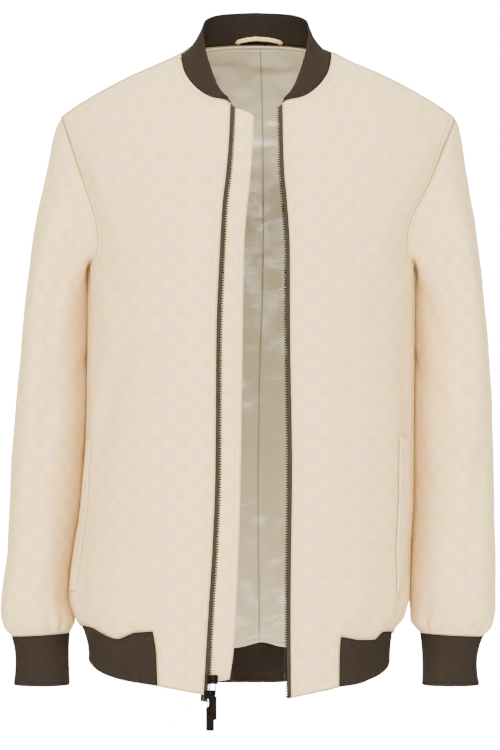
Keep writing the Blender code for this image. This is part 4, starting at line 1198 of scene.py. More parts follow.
def sleeve_lift(side, place, turn, point):
    """How far creases, gathers and unevenness lift the sleeve's cloth; turn runs from the outer side."""
    lift = ridges(SLEEVE_CREASES[side], math.degrees(turn), place, SLEEVE_FADE)
    near_cuff = math.exp(-(((place - 13.5) / 0.9) ** 2)) * (1 - 0.9 * smooth_step((place - 13.4) / 0.6))
    wave = math.sin(11 * turn + 1.9 * math.sin(3 * turn)) + 0.7 * math.sin(19 * turn + 0.4)
    near_head = math.exp(-(((place - 0.6) / 0.8) ** 2))
    head = math.sin(17 * turn + 1.2 * math.sin(4 * turn + 1.0))
    loose = 1 - smooth_step((place - 13.2) / 0.8)
    soft = unevenness(point, *SLEEVE_SOFTNESS)
    return lift + 1.3 * near_cuff * wave + 0.35 * near_head * head + soft * loose


def build_sleeve(side, front, back):
    """A tube from the armhole's outline to its own form; returns its plain ring at the wrist."""
    loops = [armhole_loop(side, front, back, skin) for skin in (0, 1)]
    spreads = sleeve_spreads(side, *loops)
    last_place = SLEEVE_ROWS[-1][0]
    points = []
    for row in range(SLEEVE_RINGS + 1):
        place = last_place * (row / SLEEVE_RINGS) ** SLEEVE_CROWDING
        own = SLEEVE["own_form"](place)
        gap = SLEEVE_GAP + SLEEVE_EASE * place
        ring = sleeve_ring(side, place, 0.0)
        centre = sum(ring, Vector()) / len(ring)
        plain = [(seam + out * gap).lerp(free, own) for seam, out, free in zip(loops[0], spreads, ring)]
        line = []
        for column, point in enumerate(plain):
            lift = sleeve_lift(side, place, math.pi * column / ARMHOLE_ROWS, point)
            line.append(point + (point - centre).normalized() * lift * smooth_step(place / 0.8))
        points.append(line)
    mesh = grid_mesh(points, closed=True, uv_from=(0.0, CHECK_RISE), hung=True)
    bmesh.ops.recalc_face_normals(mesh, faces=mesh.faces)
    middle = sum((sum(line, Vector()) / len(line) for line in points), Vector()) / len(points) * MM
    face_out(mesh, lambda centre: Vector((centre.x - middle.x, centre.y - middle.y, 0)))
    piece = finish_mesh("sleeve_%s_cloth" % side, mesh, "wool_cloth")
    head = np.array([tuple(p) for p in points[0] + points[0][:1]])
    wrist = np.array([tuple(p) for p in points[-1] + points[-1][:1]])
    under = np.array([tuple(line[ARMHOLE_ROWS]) for line in points])
    mark_seams(piece, [(head, 0), (wrist, 0), (under, 0)])
    add_thickness(piece, bpy.context.scene.jacket_sizes.cloth / MM)
    declare("sleeve_" + side)
    return plain


# Rib knit


def equal_cells(line, count):
    """Count equal steps along a polyline, each as the cell that it falls in and how far along that."""
    lengths = [0.0]
    for a, b in zip(line, line[1:]):
        lengths.append(lengths[-1] + (b - a).length)
    places = []
    cell = 0
    for i in range(count + 1):
        target = lengths[-1] * i / count
        while cell < len(line) - 2 and lengths[cell + 1] < target:
            cell += 1
        span = max(lengths[cell + 1] - lengths[cell], 1e-9)
        places.append((cell, min(max((target - lengths[cell]) / span, 0.0), 1.0)))
    return places


def between_rows(rows, middle_way, cell, part, way):
    """A point on the smooth surface through three rows of points, from the first (0) to the last (1)."""
    first, middle, last = (row[cell].lerp(row[cell + 1], part) for row in rows)
    m = middle_way
    from_first = first * ((way - m) * (way - 1) / m)
    from_middle = middle * (way * (way - 1) / (m * (m - 1)))
    return from_first + from_middle + last * (way * (way - m) / (1 - m))


def knit_profile():
    """The band's section: down its outer face, round the folded edge and back up its inner face."""
    outer = [(0.97 * v / BAND_ROWS, 0.0) for v in range(BAND_ROWS + 1)]
    fold = [(0.992, 0.16), (1.0, 0.5), (0.992, 0.84)]
    return outer + fold + [(way, 1.0) for way, _ in outer[::-1]]


def knit_band(name, rows, normals, middle_way, length, closed):
    """A doubled band of rib knit hung between three rows of points, its ribs raised on both faces."""
    sizes = bpy.context.scene.jacket_sizes
    columns = round(length / (sizes.rib_pitch / MM)) * RIB_COLUMNS
    depth = sizes.rib_depth / MM
    places = equal_cells(rows[1], columns)
    points = []
    for way, sunk in knit_profile() + knit_profile()[:1]:
        line = []
        for c, (cell, part) in enumerate(places[:-1] if closed else places):
            rib = rib_height(c)
            out = normals[cell].lerp(normals[cell + 1], part)
            low = depth * (1 - rib) * (1 - 2 * sunk)
            line.append(between_rows(rows, middle_way, cell, part, way) - out * (RIB_KNIT * sunk + low))
        points.append(line)
    mesh = grid_mesh(points, closed=closed, heights=[rib_height(c) for c in range(columns + 1)])
    bmesh.ops.remove_doubles(mesh, verts=mesh.verts, dist=WELD)
    if not closed:
        bmesh.ops.holes_fill(mesh, edges=[e for e in mesh.edges if e.is_boundary], sides=0)
    bmesh.ops.recalc_face_normals(mesh, faces=mesh.faces)
    return finish_mesh(name, mesh, "rib_knit")


def rib_height(column):
    """How high the knit stands at a column of the band, from 0 between ribs to 1 on a rib."""
    return 0.5 + 0.5 * math.cos(2 * math.pi * column / RIB_COLUMNS)


def build_collar(fronts, back):
    seam, top = collar_lines(fronts, back)
    normals = collar_normals(seam, top)
    middle = collar_middle(seam, top, normals)
    collar = knit_band("collar_knit", (seam, middle, top), normals, 0.5, COLLAR_LENGTH, False)
    declare("collar_rib")
    return seam, top, normals


def build_hem_rib():
    first, last = -FRONT_TAB_RIGHT - RIB_END_TURN, FRONT_TAB_LEFT + RIB_END_TURN - 360
    angles = [blend(first, last, i / HEM_COLUMNS_FINE) for i in range(HEM_COLUMNS_FINE + 1)]
    normals = [hem_normal(angle) for angle in angles]
    rows = []
    for share in (0.0, RIB_MIDDLE, 1.0):
        row = []
        for angle, normal in zip(angles, normals):
            seam = hem_seam(angle) - SEAM_GAP
            place = Vector(body_point(angle, blend(seam, hem_end(angle), share)))
            row.append(place - normal * (RIB_SET_IN + hem_puff(share, angle)))
        rows.append(row)
    rib = knit_band("hem_knit", rows, normals, RIB_MIDDLE, HEM_LENGTH, False)
    declare("hem_rib")


def hem_puff(share, angle):
    """The rib pulls in a little between its edges, unevenly."""
    return 0.8 * math.sin(math.pi * share) * (0.5 + 0.5 * math.sin(math.radians(angle) * 7))


def build_cuff(side, wrist):
    rows = [[point - Vector((0, 0, SEAM_GAP)) for point in wrist]]
    for height in (CUFF_ROWS[1][0], CUFF_ROWS[2][0]):
        outer, inner = CUFF[side + "_outer"](height), CUFF[side + "_inner"](height)
        half_depth = CUFF["half_depth"](height)
        line = []
        for column in range(2 * ARMHOLE_ROWS):
            turn = math.pi * column / ARMHOLE_ROWS
            x = (outer + inner) / 2 + (outer - inner) / 2 * math.cos(turn)
            y = SLEEVE["middle"](SLEEVE_ROWS[-1][0]) - half_depth * math.sin(turn)
            line.append(Vector((x, y, height)))
        rows.append(line)
    centre = sum(rows[1], Vector()) / len(rows[1])
    normals = [Vector((p.x - centre.x, p.y - centre.y, 0)).normalized() for p in rows[1]]
    rows = [row + row[:1] for row in rows]
    cuff = knit_band("cuff_%s_knit" % side, rows, normals + normals[:1], 0.5, CUFF_LENGTH, True)
    declare("cuff_" + side)


# Lining, neck band, hanger loop and wind guard


def walk_down(skin, column, distance):
    """The point that lies a distance down a column of a grid from its top edge."""
    here = Vector(skin[0][column])
    for row in range(1, len(skin)):
        there = Vector(skin[row][column])
        gap = (there - here).length
        if gap >= distance:
            return here.lerp(there, distance / gap)
        distance -= gap
        here = there
    return here


def lining_relief(point, below_band, above_hem):
    """How far the lining hangs in from the cloth behind it: pleat, gathers under its band, soft sags."""
    from_pleat = point.x - PLEAT["x"](point.z)
    pleat = 1.3 * math.exp(-((from_pleat - 5) / 8) ** 2)
    folds = sum(slack_fold(point, *fold) for fold in LINING_FOLDS)
    near_band = math.exp(-((below_band / 26) ** 2)) * smooth_step(below_band / 3)
    tucks = 0.5 + 0.5 * math.sin(point.x / 3.4 + 1.7 * math.sin(point.x / 13))
    crease_height = LINING_CREASE + 5 * math.sin(point.x / 31) + 0.06 * point.x
    crease = math.exp(-((point.z - crease_height) / 6) ** 2) * (0.7 + 0.3 * math.sin(point.x / 17))
    sway = point.x / 21 + point.z / 60
    waves = 1.3 + 1.0 * math.sin(sway) + 0.7 * math.sin(1.9 * sway + point.z / 45)
    sag = smooth_step(below_band / 60) * waves
    low = math.exp(-((above_hem / 110) ** 2))
    drapes = low * (1.4 + 1.4 * math.sin(point.x / 9.5 + 0.8 * math.sin(point.x / 23)))
    zone = 0.35 + 0.65 * max(1 - smooth_step((below_band - 70) / 60), 1 - smooth_step((above_hem - 110) / 70))
    slant = Vector(((point.x + 0.45 * point.z) / 34, point.y / 60, (point.z - 0.3 * point.x) / 17))
    rumple = noise.noise(slant) + 0.4 * noise.noise(slant * 2.1)
    rumples = 3.4 * zone * rumple * smooth_step(below_band / 12)
    soft = 1.8 + unevenness(point, *LINING_SOFTNESS) + rumples
    return max(pleat + 1.0 * near_band * tucks + 1.6 * crease + sag + drapes + soft + folds, 0.0)


def slack_fold(point, x_above, above, x_below, below, half_width, rise):
    """The lift of a straight fold at a point, fading towards the fold's ends."""
    way = Vector((x_below - x_above, below - above))
    from_start = Vector((point.x - x_above, point.z - above))
    share = from_start.dot(way) / way.length_squared
    if not 0 < share < 1:
        return 0.0
    away = (from_start - way * share).length
    return rise * math.exp(-((away / half_width) ** 2)) * math.sin(math.pi * share)


def lining_point(angle, height, relief):
    return Vector(halves_apart(panel_place(angle, height, CLOTH + LINING_CLEAR + relief), angle))


def lining_skin(grid):
    """The plain surface that the lining and its band are hung from."""
    return [[lining_point(angle, height, 0.0) for angle, height in line] for line in grid]


def build_lining():
    """Follows the back's inner side and hangs past the hem seam in soft waves."""
    grid = back_grid()
    first, last = BACK_SHOULDER_COLUMNS, BACK_SHOULDER_COLUMNS + 2 * BACK_NECK_COLUMNS
    end = len(grid) - 1
    skin = lining_skin(grid)
    normals = inward_normals(skin)
    points = []
    for r in range(end + 1):
        line = []
        for c, (angle, height) in enumerate(grid[r]):
            under_band = smooth_step((c - first) / FINER) * smooth_step((last - c) / FINER)
            drop = blend(SEAM_GAP, BAND_TOP + BAND_DEPTH + SEAM_GAP, under_band)
            place = skin[r][c]
            if r < LINING_TOP_ROWS:
                whole = sum((skin[i + 1][c] - skin[i][c]).length for i in range(LINING_TOP_ROWS))
                place = walk_down(skin, c, blend(drop, whole, r / LINING_TOP_ROWS))
            below_band = skin[0][c].z - place.z - drop
            relief = lining_relief(place, max(below_band, 0.0), place.z - skin[end][c].z)
            held = smooth_step(min(c, len(grid[r]) - 1 - c) / 5) * smooth_step((r + 1) / 4)
            line.append(place + normals[r][c] * relief * held)
        points.append(line)
    for row in range(1, LINING_HEM_ROWS + 1):
        share = row / LINING_HEM_ROWS
        line = []
        for c, (angle, height) in enumerate(grid[end]):
            above = points[end][c]
            wave = math.sin(above.x / 9.5 + 0.8 * math.sin(above.x / 23))
            middle, half_width, most = LINING_HEM_ARCH
            arch = most * math.exp(-(((above.x - middle) / half_width) ** 2))
            drop = (LINING_HEM_DROP - arch + 0.8 * math.sin(above.x / 11)) * share
            inset = CLOTH + LINING_OVER_RIB + 1.6 * share + (1 + wave) * 1.4 * share
            free = Vector(body_point(angle, height - drop, inset))
            depth = max((above - Vector(body_point(angle, height))).length, inset)
            line.append(Vector(body_point(angle, height - drop, max(inset, depth))).lerp(free, share))
        points.append(line)
    mesh = grid_mesh(points, uv_middle=True)
    face_out(mesh, lambda centre: -away_from_body(centre))
    lining = finish_mesh("lining_satin", mesh, "satin_lining")
    vertices = vertex_array(lining)
    mark_distances(lining, "pleat_mm", [x - PLEAT["x"](z) for x, _, z in vertices])
    hem = np.array([tuple(p) for p in points[-1]])
    mark_distances(lining, "hem_mm", distance_to(vertices, hem))
    add_thickness(lining, LINING_THIN, 1)
    declare("back_lining")
    build_neck_band(skin, normals, first, last)


def build_neck_band(skin, normals, first, last):
    points = []
    for row in range(NECK_BAND_ROWS + 1):
        share = row / NECK_BAND_ROWS
        swell = BAND * (0.35 + 0.65 * math.sin(math.pi * share) ** 0.5)
        line = []
        for c in range(first + FINER, last - FINER + 1):
            place = walk_down(skin, c, BAND_TOP - BAND_RISE + (BAND_DEPTH + BAND_RISE) * share)
            line.append(place + normals[0][c] * swell)
        points.append(line)
    mesh = grid_mesh(points, uv_middle=True)
    face_out(mesh, lambda centre: -away_from_body(centre))
    band = finish_mesh("neck_band_satin", mesh, "satin_lining")
    for name in ("pleat_mm", "hem_mm"):
        mark_distances(band, name, np.full(len(band.data.vertices), FAR_OFF))
    add_thickness(band, LINING_THIN, 1)
    declare("lining_neck_band")


def build_hanger_loop(seam, top, normals):
    """A narrow folded strip arched across the inside of the collar's back."""
    middle = len(seam) // 2
    steps, across = 3 * LOOP_STEPS, LOOP_COLUMNS
    centres, ways_in = [], []
    for i in range(steps + 1):
        share = i / steps
        place = middle + blend(*LOOP_SPAN, share) * FINER
        cell = int(place)
        part = place - cell
        base = seam[cell].lerp(seam[cell + 1], part)
        upper = top[cell].lerp(top[cell + 1], part)
        inward = -normals[cell].lerp(normals[cell + 1], part)
        arch = math.sin(math.pi * share) ** LOOP_SQUARENESS
        rise = LOOP_FOOT + LOOP_RISE * arch
        reach = RIB_KNIT + LOOP_CLEAR + LOOP_ARCH * math.sin(math.pi * share) ** 0.6
        centres.append(base + (upper - base).normalized() * rise + inward * reach)
        ways_in.append(inward)
    points = []
    for row in range(across + 1):
        edge = row / across - 0.5
        line = []
        for i, (centre, inward) in enumerate(zip(centres, ways_in)):
            along = centres[min(i + 1, steps)] - centres[max(i - 1, 0)]
            side = inward.cross(along).normalized()
            line.append(centre + side * LOOP_STRIP * edge + inward * 0.25 * math.cos(math.pi * edge))
        points.append(line)
    mesh = grid_mesh(points)
    face_out(mesh, lambda centre: Vector((0, 1, 0)))
    loop = finish_mesh("hanger_loop_strip", mesh, "wool_cloth")
    mark_seams(loop, [])
    add_thickness(loop, LOOP_THICK - 0.3)
    declare("hanger_loop")


def build_wind_guard():
    """The facing strip behind the zip, with a row of stitching beside its free edge."""
    across, rows = 4 * GUARD_ACROSS, GUARD_ROWS_FINE
    points = []
    for r in range(rows + 1):
        level = blend(GUARD_TOP, GUARD_END, r / rows)
        line = []
        for c in range(across + 1):
            share = c / across
            top = GUARD_TOP - GUARD_CORNER * share**3
            end = GUARD_END + GUARD_END_CORNER * share**2
            height = blend(top, end, (GUARD_TOP - level) / (GUARD_TOP - GUARD_END))
            x = blend(EDGE["right"](height) - GUARD_SET_IN, GUARD_EDGE["edge"](height), share)
            plain = body_point(body_angle(x, height), height, guard_inset(height))
            sag = 0.5 + unevenness(plain, *GUARD_SOFTNESS)
            line.append(Vector(body_point(body_angle(x, height), height, guard_inset(height) + sag * share)))
        points.append(line)
    mesh = grid_mesh(points, uv_from=(0.006, 0.0))
    face_out(mesh, away_from_body)
    guard = finish_mesh("wind_guard_cloth", mesh, "wool_cloth")
    edge = [(r, across) for r in range(rows + 1)]
    mark_seams(guard, [(seam_polyline(points, edge), GUARD_STITCH)])
    add_thickness(guard, GUARD)
    path = walk_in(points, edge[2:-1], (0, -1), GUARD_STITCH)
    thread = stitch_piece("wind_guard_stitches", [(path, Vector((0, -1, 0)))])
    declare("wind_guard", [thread])


# Zip


def tape_frame(front, end):
    """For each row of a front's edge, down to the tape's end: its inner point, the way in from it and the way
    out of the cloth into the body."""
    rows = []
    for edge, beside in [(Vector(line[0]), Vector(line[2])) for line in front[1]]:
        along = (beside - edge).normalized()
        inward = Vector((-along.y, along.x, 0)).normalized()
        rows.append((edge, along, inward * (1 if inward.y > 0 else -1)))
    below = rows[-1][0] - rows[-3][0]
    past = below * ((rows[-1][0].z - end) / -below.z)
    rows.append((rows[-1][0] + past, rows[-1][1], rows[-1][2]))
    return rows


def build_zip_half(side, front, end):
    """A woven tape sewn under the front's edge, with a row of teeth clamped on its free edge."""
    rows = tape_frame(front, end)
    reach = (TAPE_HIDDEN, 0.0, -TAPE_SHOWN, -TAPE_SHOWN - TAPE_UNDER_TEETH)
    points = []
    teeth = []
    for edge, along, inward in rows:
        middle = edge + inward * (TAPE_CLEAR + TEETH / 2)
        points.append([middle + along * across for across in reach])
        teeth.append(middle - along * (TAPE_SHOWN + TEETH_RISE + TEETH_WIDTH / 2))
    mesh = grid_mesh(points)
    face_out(mesh, away_from_body)
    tape = finish_mesh("zip_tape_%s_woven" % side, mesh, "zip_tape")
    add_thickness(tape, TAPE_THIN, 0)
    declare("zip_tape_" + side, [build_teeth(side, teeth, rows)])


def build_teeth(side, path, rows):
    """Moulded teeth a fixed pitch apart, each a small block with rounded edges."""
    pitch = bpy.context.scene.jacket_sizes.tooth_pitch / MM
    stops = resample(path, pitch)
    mesh = bmesh.new()
    along = rows[len(rows) // 2][1]
    inward = rows[len(rows) // 2][2]
    for a, b in zip(stops, stops[1:]):
        down = (b - a).normalized()
        across = (along - down * along.dot(down)).normalized()
        turn = Matrix((across, inward, down)).transposed().to_4x4()
        sizes = (TEETH_WIDTH, TEETH - TOOTH_PLAY, TOOTH_SHARE * pitch)
        size = Matrix.Diagonal((*(value * MM for value in sizes), 1))
        bmesh.ops.create_cube(mesh, size=1.0, matrix=Matrix.Translation((a + b) / 2 * MM) @ turn @ size)
    bmesh.ops.bevel(
        mesh, geom=mesh.edges[:], offset=TOOTH_ROUND * MM, segments=1, profile=0.5, affect="EDGES",
        material=-1,
    )
    return finish_mesh("zip_teeth_" + side, mesh, "zip_metal")


# Pocket welts


def build_welt(side, front):
    """A folded strip laid on the front beside the pocket opening."""
    near, far, top, end = POCKETS[side]
    skin = front[0]
    places = front_grid(side)[: ARMHOLE_ROWS + SIDE_ROWS + 1]
    start = place_between([line[-FINER - 1][1] for line in places], top)
    stop = place_between([line[-FINER - 1][1] for line in places], end)
    rows = [start, *range(math.ceil(start), math.floor(stop) + 1), stop]
    normals = inward_normals(skin[: len(places)])
    flat = [[(*place, 0) for place in line] for line in places]
    across = 4 * WELT_COLUMNS
    points = []
    for row in rows:
        angles = [point_at(flat, row, c).x for c in range(len(flat[0]))]
        from_column, to_column = place_between(angles, near), place_between(angles, far)
        line = []
        for i in range(across + 1):
            c = blend(from_column, to_column, i / across)
            lift = WELT_CLEAR + WELT - 0.5 * (2 * i / across - 1) ** 6
            line.append(point_at(skin, row, c) - point_at(normals, row, c) * lift)
        points.append(line)
    mesh = grid_mesh(points, uv_from=(0.004, 0.01))
    face_out(mesh, away_from_body)
    welt = finish_mesh("pocket_welt_%s_cloth" % side, mesh, "wool_cloth")
    last = len(points) - 1
    edges = [[(r, 0) for r in range(last + 1)], [(r, across) for r in range(last + 1)]]
    ends = [[(0, c) for c in range(across + 1)], [(last, c) for c in range(across + 1)]]
    mark_seams(welt, [(seam_polyline(points, edge), WELT_STITCH) for edge in edges + ends])
    add_thickness(welt, WELT - 0.2)
    way = Vector((side_sign(side) * 0.9, -0.45, 0)).normalized()
    paths = [
        (walk_in(points, edges[1][1:-1], (0, -1), WELT_STITCH), way),
        (walk_in(points, ends[0][2:-2], (1, 0), WELT_STITCH), way),
        (walk_in(points, ends[1][2:-2], (-1, 0), WELT_STITCH), way),
    ]
    thread = stitch_piece("pocket_welt_%s_stitches" % side, paths)
    declare("pocket_welt_" + side, [thread])


# Stitching


def stitch_piece(name, paths):
    """One piece of thread: a row of stitches along each path, lying on the cloth that faces the way given."""
    sizes = bpy.context.scene.jacket_sizes
    mesh = bmesh.new()
    for path, way in paths:
        normal = way if callable(way) else (lambda place, way=way: way)
        sew(mesh, path, normal, sizes.stitch_pitch / MM, sizes.stitch_length / MM)
    return finish_mesh(name, mesh, "thread")


def out_of_body(place):
    """The way out of a panel, tipped up over the shoulders."""
    return Vector((place.x, place.y, 60.0 if place.z > -120 else 0.0)).normalized()


def front_stitch_paths(points):
    row, last = ARMHOLE_ROWS + SIDE_ROWS, FRONT_COLUMNS
    neck = walk_in(points, [(0, c) for c in range(3, FRONT_NECK_COLUMNS - 1)], (1, 0), NECK_STITCH)
    zip_edge = walk_in(points, [(r, 0) for r in range(2, len(points) - 1)], (0, 1), ZIP_STITCH)
    armhole = walk_in(points, [(r, last) for r in range(2, ARMHOLE_ROWS - 6)], (0, -1), ARMHOLE_STITCH)
    hem = walk_in(points, [(row, c) for c in range(TAB_COLUMNS, last)], (-1, 0), HEM_STITCH)
    tab = walk_in(points, [(r, TAB_COLUMNS) for r in range(row, len(points) - 1)], (0, -1), HEM_STITCH)
    return [(path, out_of_body) for path in (neck, zip_edge, armhole, hem, tab)]


def back_stitch_paths(points):
    row, last = ARMHOLE_ROWS + SIDE_ROWS, len(points[0]) - 1
    start, end = BACK_SHOULDER_COLUMNS, BACK_SHOULDER_COLUMNS + 2 * BACK_NECK_COLUMNS
    neck = walk_in(points, [(0, c) for c in range(start + 1, end)], (1, 0), NECK_STITCH)
    hem = walk_in(points, [(row, c) for c in range(1, last)], (-1, 0), HEM_STITCH)
    paths = [neck, hem]
    for column, step in ((0, 1), (last, -1)):
        edge = [(r, column) for r in range(2, ARMHOLE_ROWS - 6)]
        paths.append(walk_in(points, edge, (0, step), ARMHOLE_STITCH))
    return [(path, out_of_body) for path in paths]


# Materials


def toLinear(colour):
    """The linear values of an sRGB colour written as #RRGGBB."""
    parts = [int(colour[i : i + 2], 16) / 255 for i in (1, 3, 5)]
    return tuple(p / 12.92 if p <= 0.04045 else ((p + 0.055) / 1.055) ** 2.4 for p in parts)


def add(tree, kind, inputs=None, **settings):
    """Adds a shader node with its settings.

    Each input is a plain value, a colour, the output that feeds it, or a node whose first output does.
    """
    node = tree.nodes.new("ShaderNode" + kind)
    for name, value in settings.items():
        setattr(node, name, value)
    for key, value in (inputs or {}).items():
        if isinstance(value, bpy.types.Node):
            value = value.outputs[0]
        if isinstance(value, bpy.types.NodeSocket):
            tree.links.new(value, node.inputs[key])
        else:
            node.inputs[key].default_value = (*value, 1) if isinstance(value, Color) else value
    return node


def woven_wool(tree, colours):
    """Brushed wool blend with a tonal woven check.

    The nap makes it matt, with a soft pale edge where the cloth turns away.
    """
    place = add(tree, "UVMap")
    parts = add(tree, "SeparateXYZ", {"Vector": place})
    wander = add(tree, "TexNoise", {"Vector": place, "Scale": 24.0, "Detail": 2.0})
    bands = []
    for axis in ("X", "Y"):
        repeats = add(tree, "Math", {0: parts.outputs[axis], 1: CHECK_REPEAT}, operation="DIVIDE")
        shaky = add(tree, "Math", {0: wander, 1: 0.05, 2: repeats}, operation="MULTIPLY_ADD")
        share = add(tree, "Math", {0: shaky, 1: 0.5}, operation="PINGPONG")
        edge = {"Value": share, "From Min": 0.19, "From Max": 0.24}
        bands.append(add(tree, "MapRange", edge, interpolation_type="SMOOTHSTEP"))
    block = add(tree, "Math", {0: bands[0], 1: bands[1]}, operation="MULTIPLY")
    crossing = add(tree, "Math", {0: bands[0], 1: bands[1]}, operation="MAXIMUM")
    apart = add(tree, "Math", {0: 1.0, 1: crossing}, operation="SUBTRACT")
    fleck = add(tree, "TexNoise", {"Vector": place, "Scale": 620.0, "Detail": 3.0, "Roughness": 0.7})
    flecks = add(tree, "MapRange", {"Value": fleck, "From Min": 0.46, "From Max": 0.62, "To Max": 0.8})
    crossed = add(tree, "Math", {0: apart, 1: flecks}, operation="MULTIPLY")
    blocks = add(tree, "Mix", {0: block, 6: colours.check_band, 7: colours.check_block}, data_type="RGBA")
    flecked = add(tree, "Mix", {0: crossed, 6: blocks.outputs[2], 7: colours.check_fleck}, data_type="RGBA")
    cloudy = add(tree, "TexNoise", {"Vector": place, "Scale": 7.0, "Detail": 3.0})
    cloud = add(tree, "MapRange", {"Value": cloudy, "From Min": 0.3, "From Max": 0.7, "To Max": 0.35})
    worn = add(tree, "Mix", {0: cloud, 6: flecked.outputs[2], 7: colours.cloth}, data_type="RGBA")
    # Painted shade: within 1.2 mm of a seam the cloth is darkened up to 15% towards the seam's shade colour.
    seam = add(tree, "Attribute", attribute_name="seam_mm").outputs["Fac"]
    shade = add(tree, "MapRange", {"Value": seam, "From Max": 1.2, "To Min": 0.15, "To Max": 0.0})
    seam_shaded = add(tree, "Mix", {0: shade, 6: worn.outputs[2], 7: colours.cloth_seam_shade}, data_type="RGBA")
    # Twill lines are drawn 1.3 mm apart, coarser than the real 0.8 mm, so that they hold at this size.
    twill = add(
        tree, "TexWave", {"Vector": place, "Scale": 245.0, "Distortion": 1.4, "Detail": 1.0},
        wave_type="BANDS", bands_direction="DIAGONAL",
    )
    nap = add(tree, "TexNoise", {"Vector": place, "Scale": 1500.0, "Detail": 4.0, "Roughness": 0.75})
    lumps = add(tree, "TexNoise", {"Vector": place, "Scale": 95.0, "Detail": 3.0, "Roughness": 0.6})
    beside_seam = add(tree, "MapRange", {"Value": seam, "From Max": 10.0})
    puff = add(tree, "FloatCurve", {"Value": beside_seam})
    curve = puff.mapping.curves[0].points
    curve[0].location, curve[-1].location = (0.0, 0.0), (1.0, 0.7)
    for spot, height in ((0.12, 0.3), (0.3, 1.0), (0.55, 0.55)):
        curve.new(spot, height)
    puff.mapping.update()
    stitched = add(tree, "Attribute", attribute_name="stitch_mm").outputs["Fac"]
    from_row = add(tree, "Math", {0: stitched, 1: STITCH_MARK}, operation="SUBTRACT")
    off_row = add(tree, "Math", {0: from_row}, operation="ABSOLUTE")
    sunk = {"Value": off_row, "From Min": 0.2, "From Max": 1.7, "To Min": -0.6, "To Max": 0.0}
    groove = add(tree, "MapRange", sunk, interpolation_type="SMOOTHSTEP")
    form = add(tree, "Math", {0: puff, 1: groove}, operation="ADD")
    lumpy = add(tree, "Math", {0: lumps, 1: 0.6, 2: form}, operation="MULTIPLY_ADD")
    lined = add(tree, "Math", {0: twill.outputs["Fac"], 1: 0.07, 2: lumpy}, operation="MULTIPLY_ADD")
    fuzzy = add(tree, "Math", {0: nap, 1: 0.16, 2: lined}, operation="MULTIPLY_ADD")
    bump = add(tree, "Bump", {"Height": fuzzy, "Strength": 0.85, "Distance": 0.0011})
    return add(tree, "BsdfPrincipled", {
        "Base Color": seam_shaded.outputs[2], "Roughness": 0.93, "Specular IOR Level": 0.18, "Sheen Weight": 0.22,
        "Sheen Roughness": 0.55, "Sheen Tint": colours.cloth, "Normal": bump,
    })


def rib_knit(tree, colours):
    """Wool and acrylic rib, dyed dark brown.

    The ribs themselves are in the form; up close each shows a column of small V stitches and loose fuzz.
    """
    place = add(tree, "UVMap")
    # Stitch rows are drawn 1.9 mm apart, coarser than the real 1.4 mm.
    rows = add(
        tree, "TexWave",
        {"Vector": place, "Scale": 165.0, "Distortion": 2.0, "Detail": 1.0, "Detail Scale": 3.0},
        wave_type="BANDS", bands_direction="Y",
    )
    fuzz = add(tree, "TexNoise", {"Vector": place, "Scale": 900.0, "Detail": 4.0, "Roughness": 0.75})
    # The melange noise gives real lighter fibres; the rib height adds painted light on the ribs and painted
    # shade in the hollows.
    raised = add(tree, "Attribute", attribute_name="rib").outputs["Fac"]
    melange = add(tree, "TexNoise", {"Vector": place, "Scale": 1300.0, "Detail": 2.0})
    fleck_and_ridge_share = add(tree, "Math", {0: raised, 1: 0.75, 2: melange}, operation="MULTIPLY_ADD", use_clamp=True)
    fleck_and_ridge_share = add(tree, "Math", {0: fleck_and_ridge_share, 1: 0.3}, operation="SUBTRACT", use_clamp=True)
    tone = add(tree, "Mix", {0: fleck_and_ridge_share, 6: colours.rib, 7: colours.rib_fleck_and_ridge_light}, data_type="RGBA")
    height = add(tree, "Math", {0: rows.outputs["Fac"], 1: 0.5, 2: fuzz}, operation="MULTIPLY_ADD")
    bump = add(tree, "Bump", {"Height": height, "Strength": 0.7, "Distance": 0.0005})
    return add(tree, "BsdfPrincipled", {
        "Base Color": tone.outputs[2], "Roughness": 0.95, "Specular IOR Level": 0.12, "Sheen Weight": 0.06,
        "Sheen Roughness": 0.5, "Sheen Tint": colours.rib_fleck_and_ridge_light, "Normal": bump,
    })


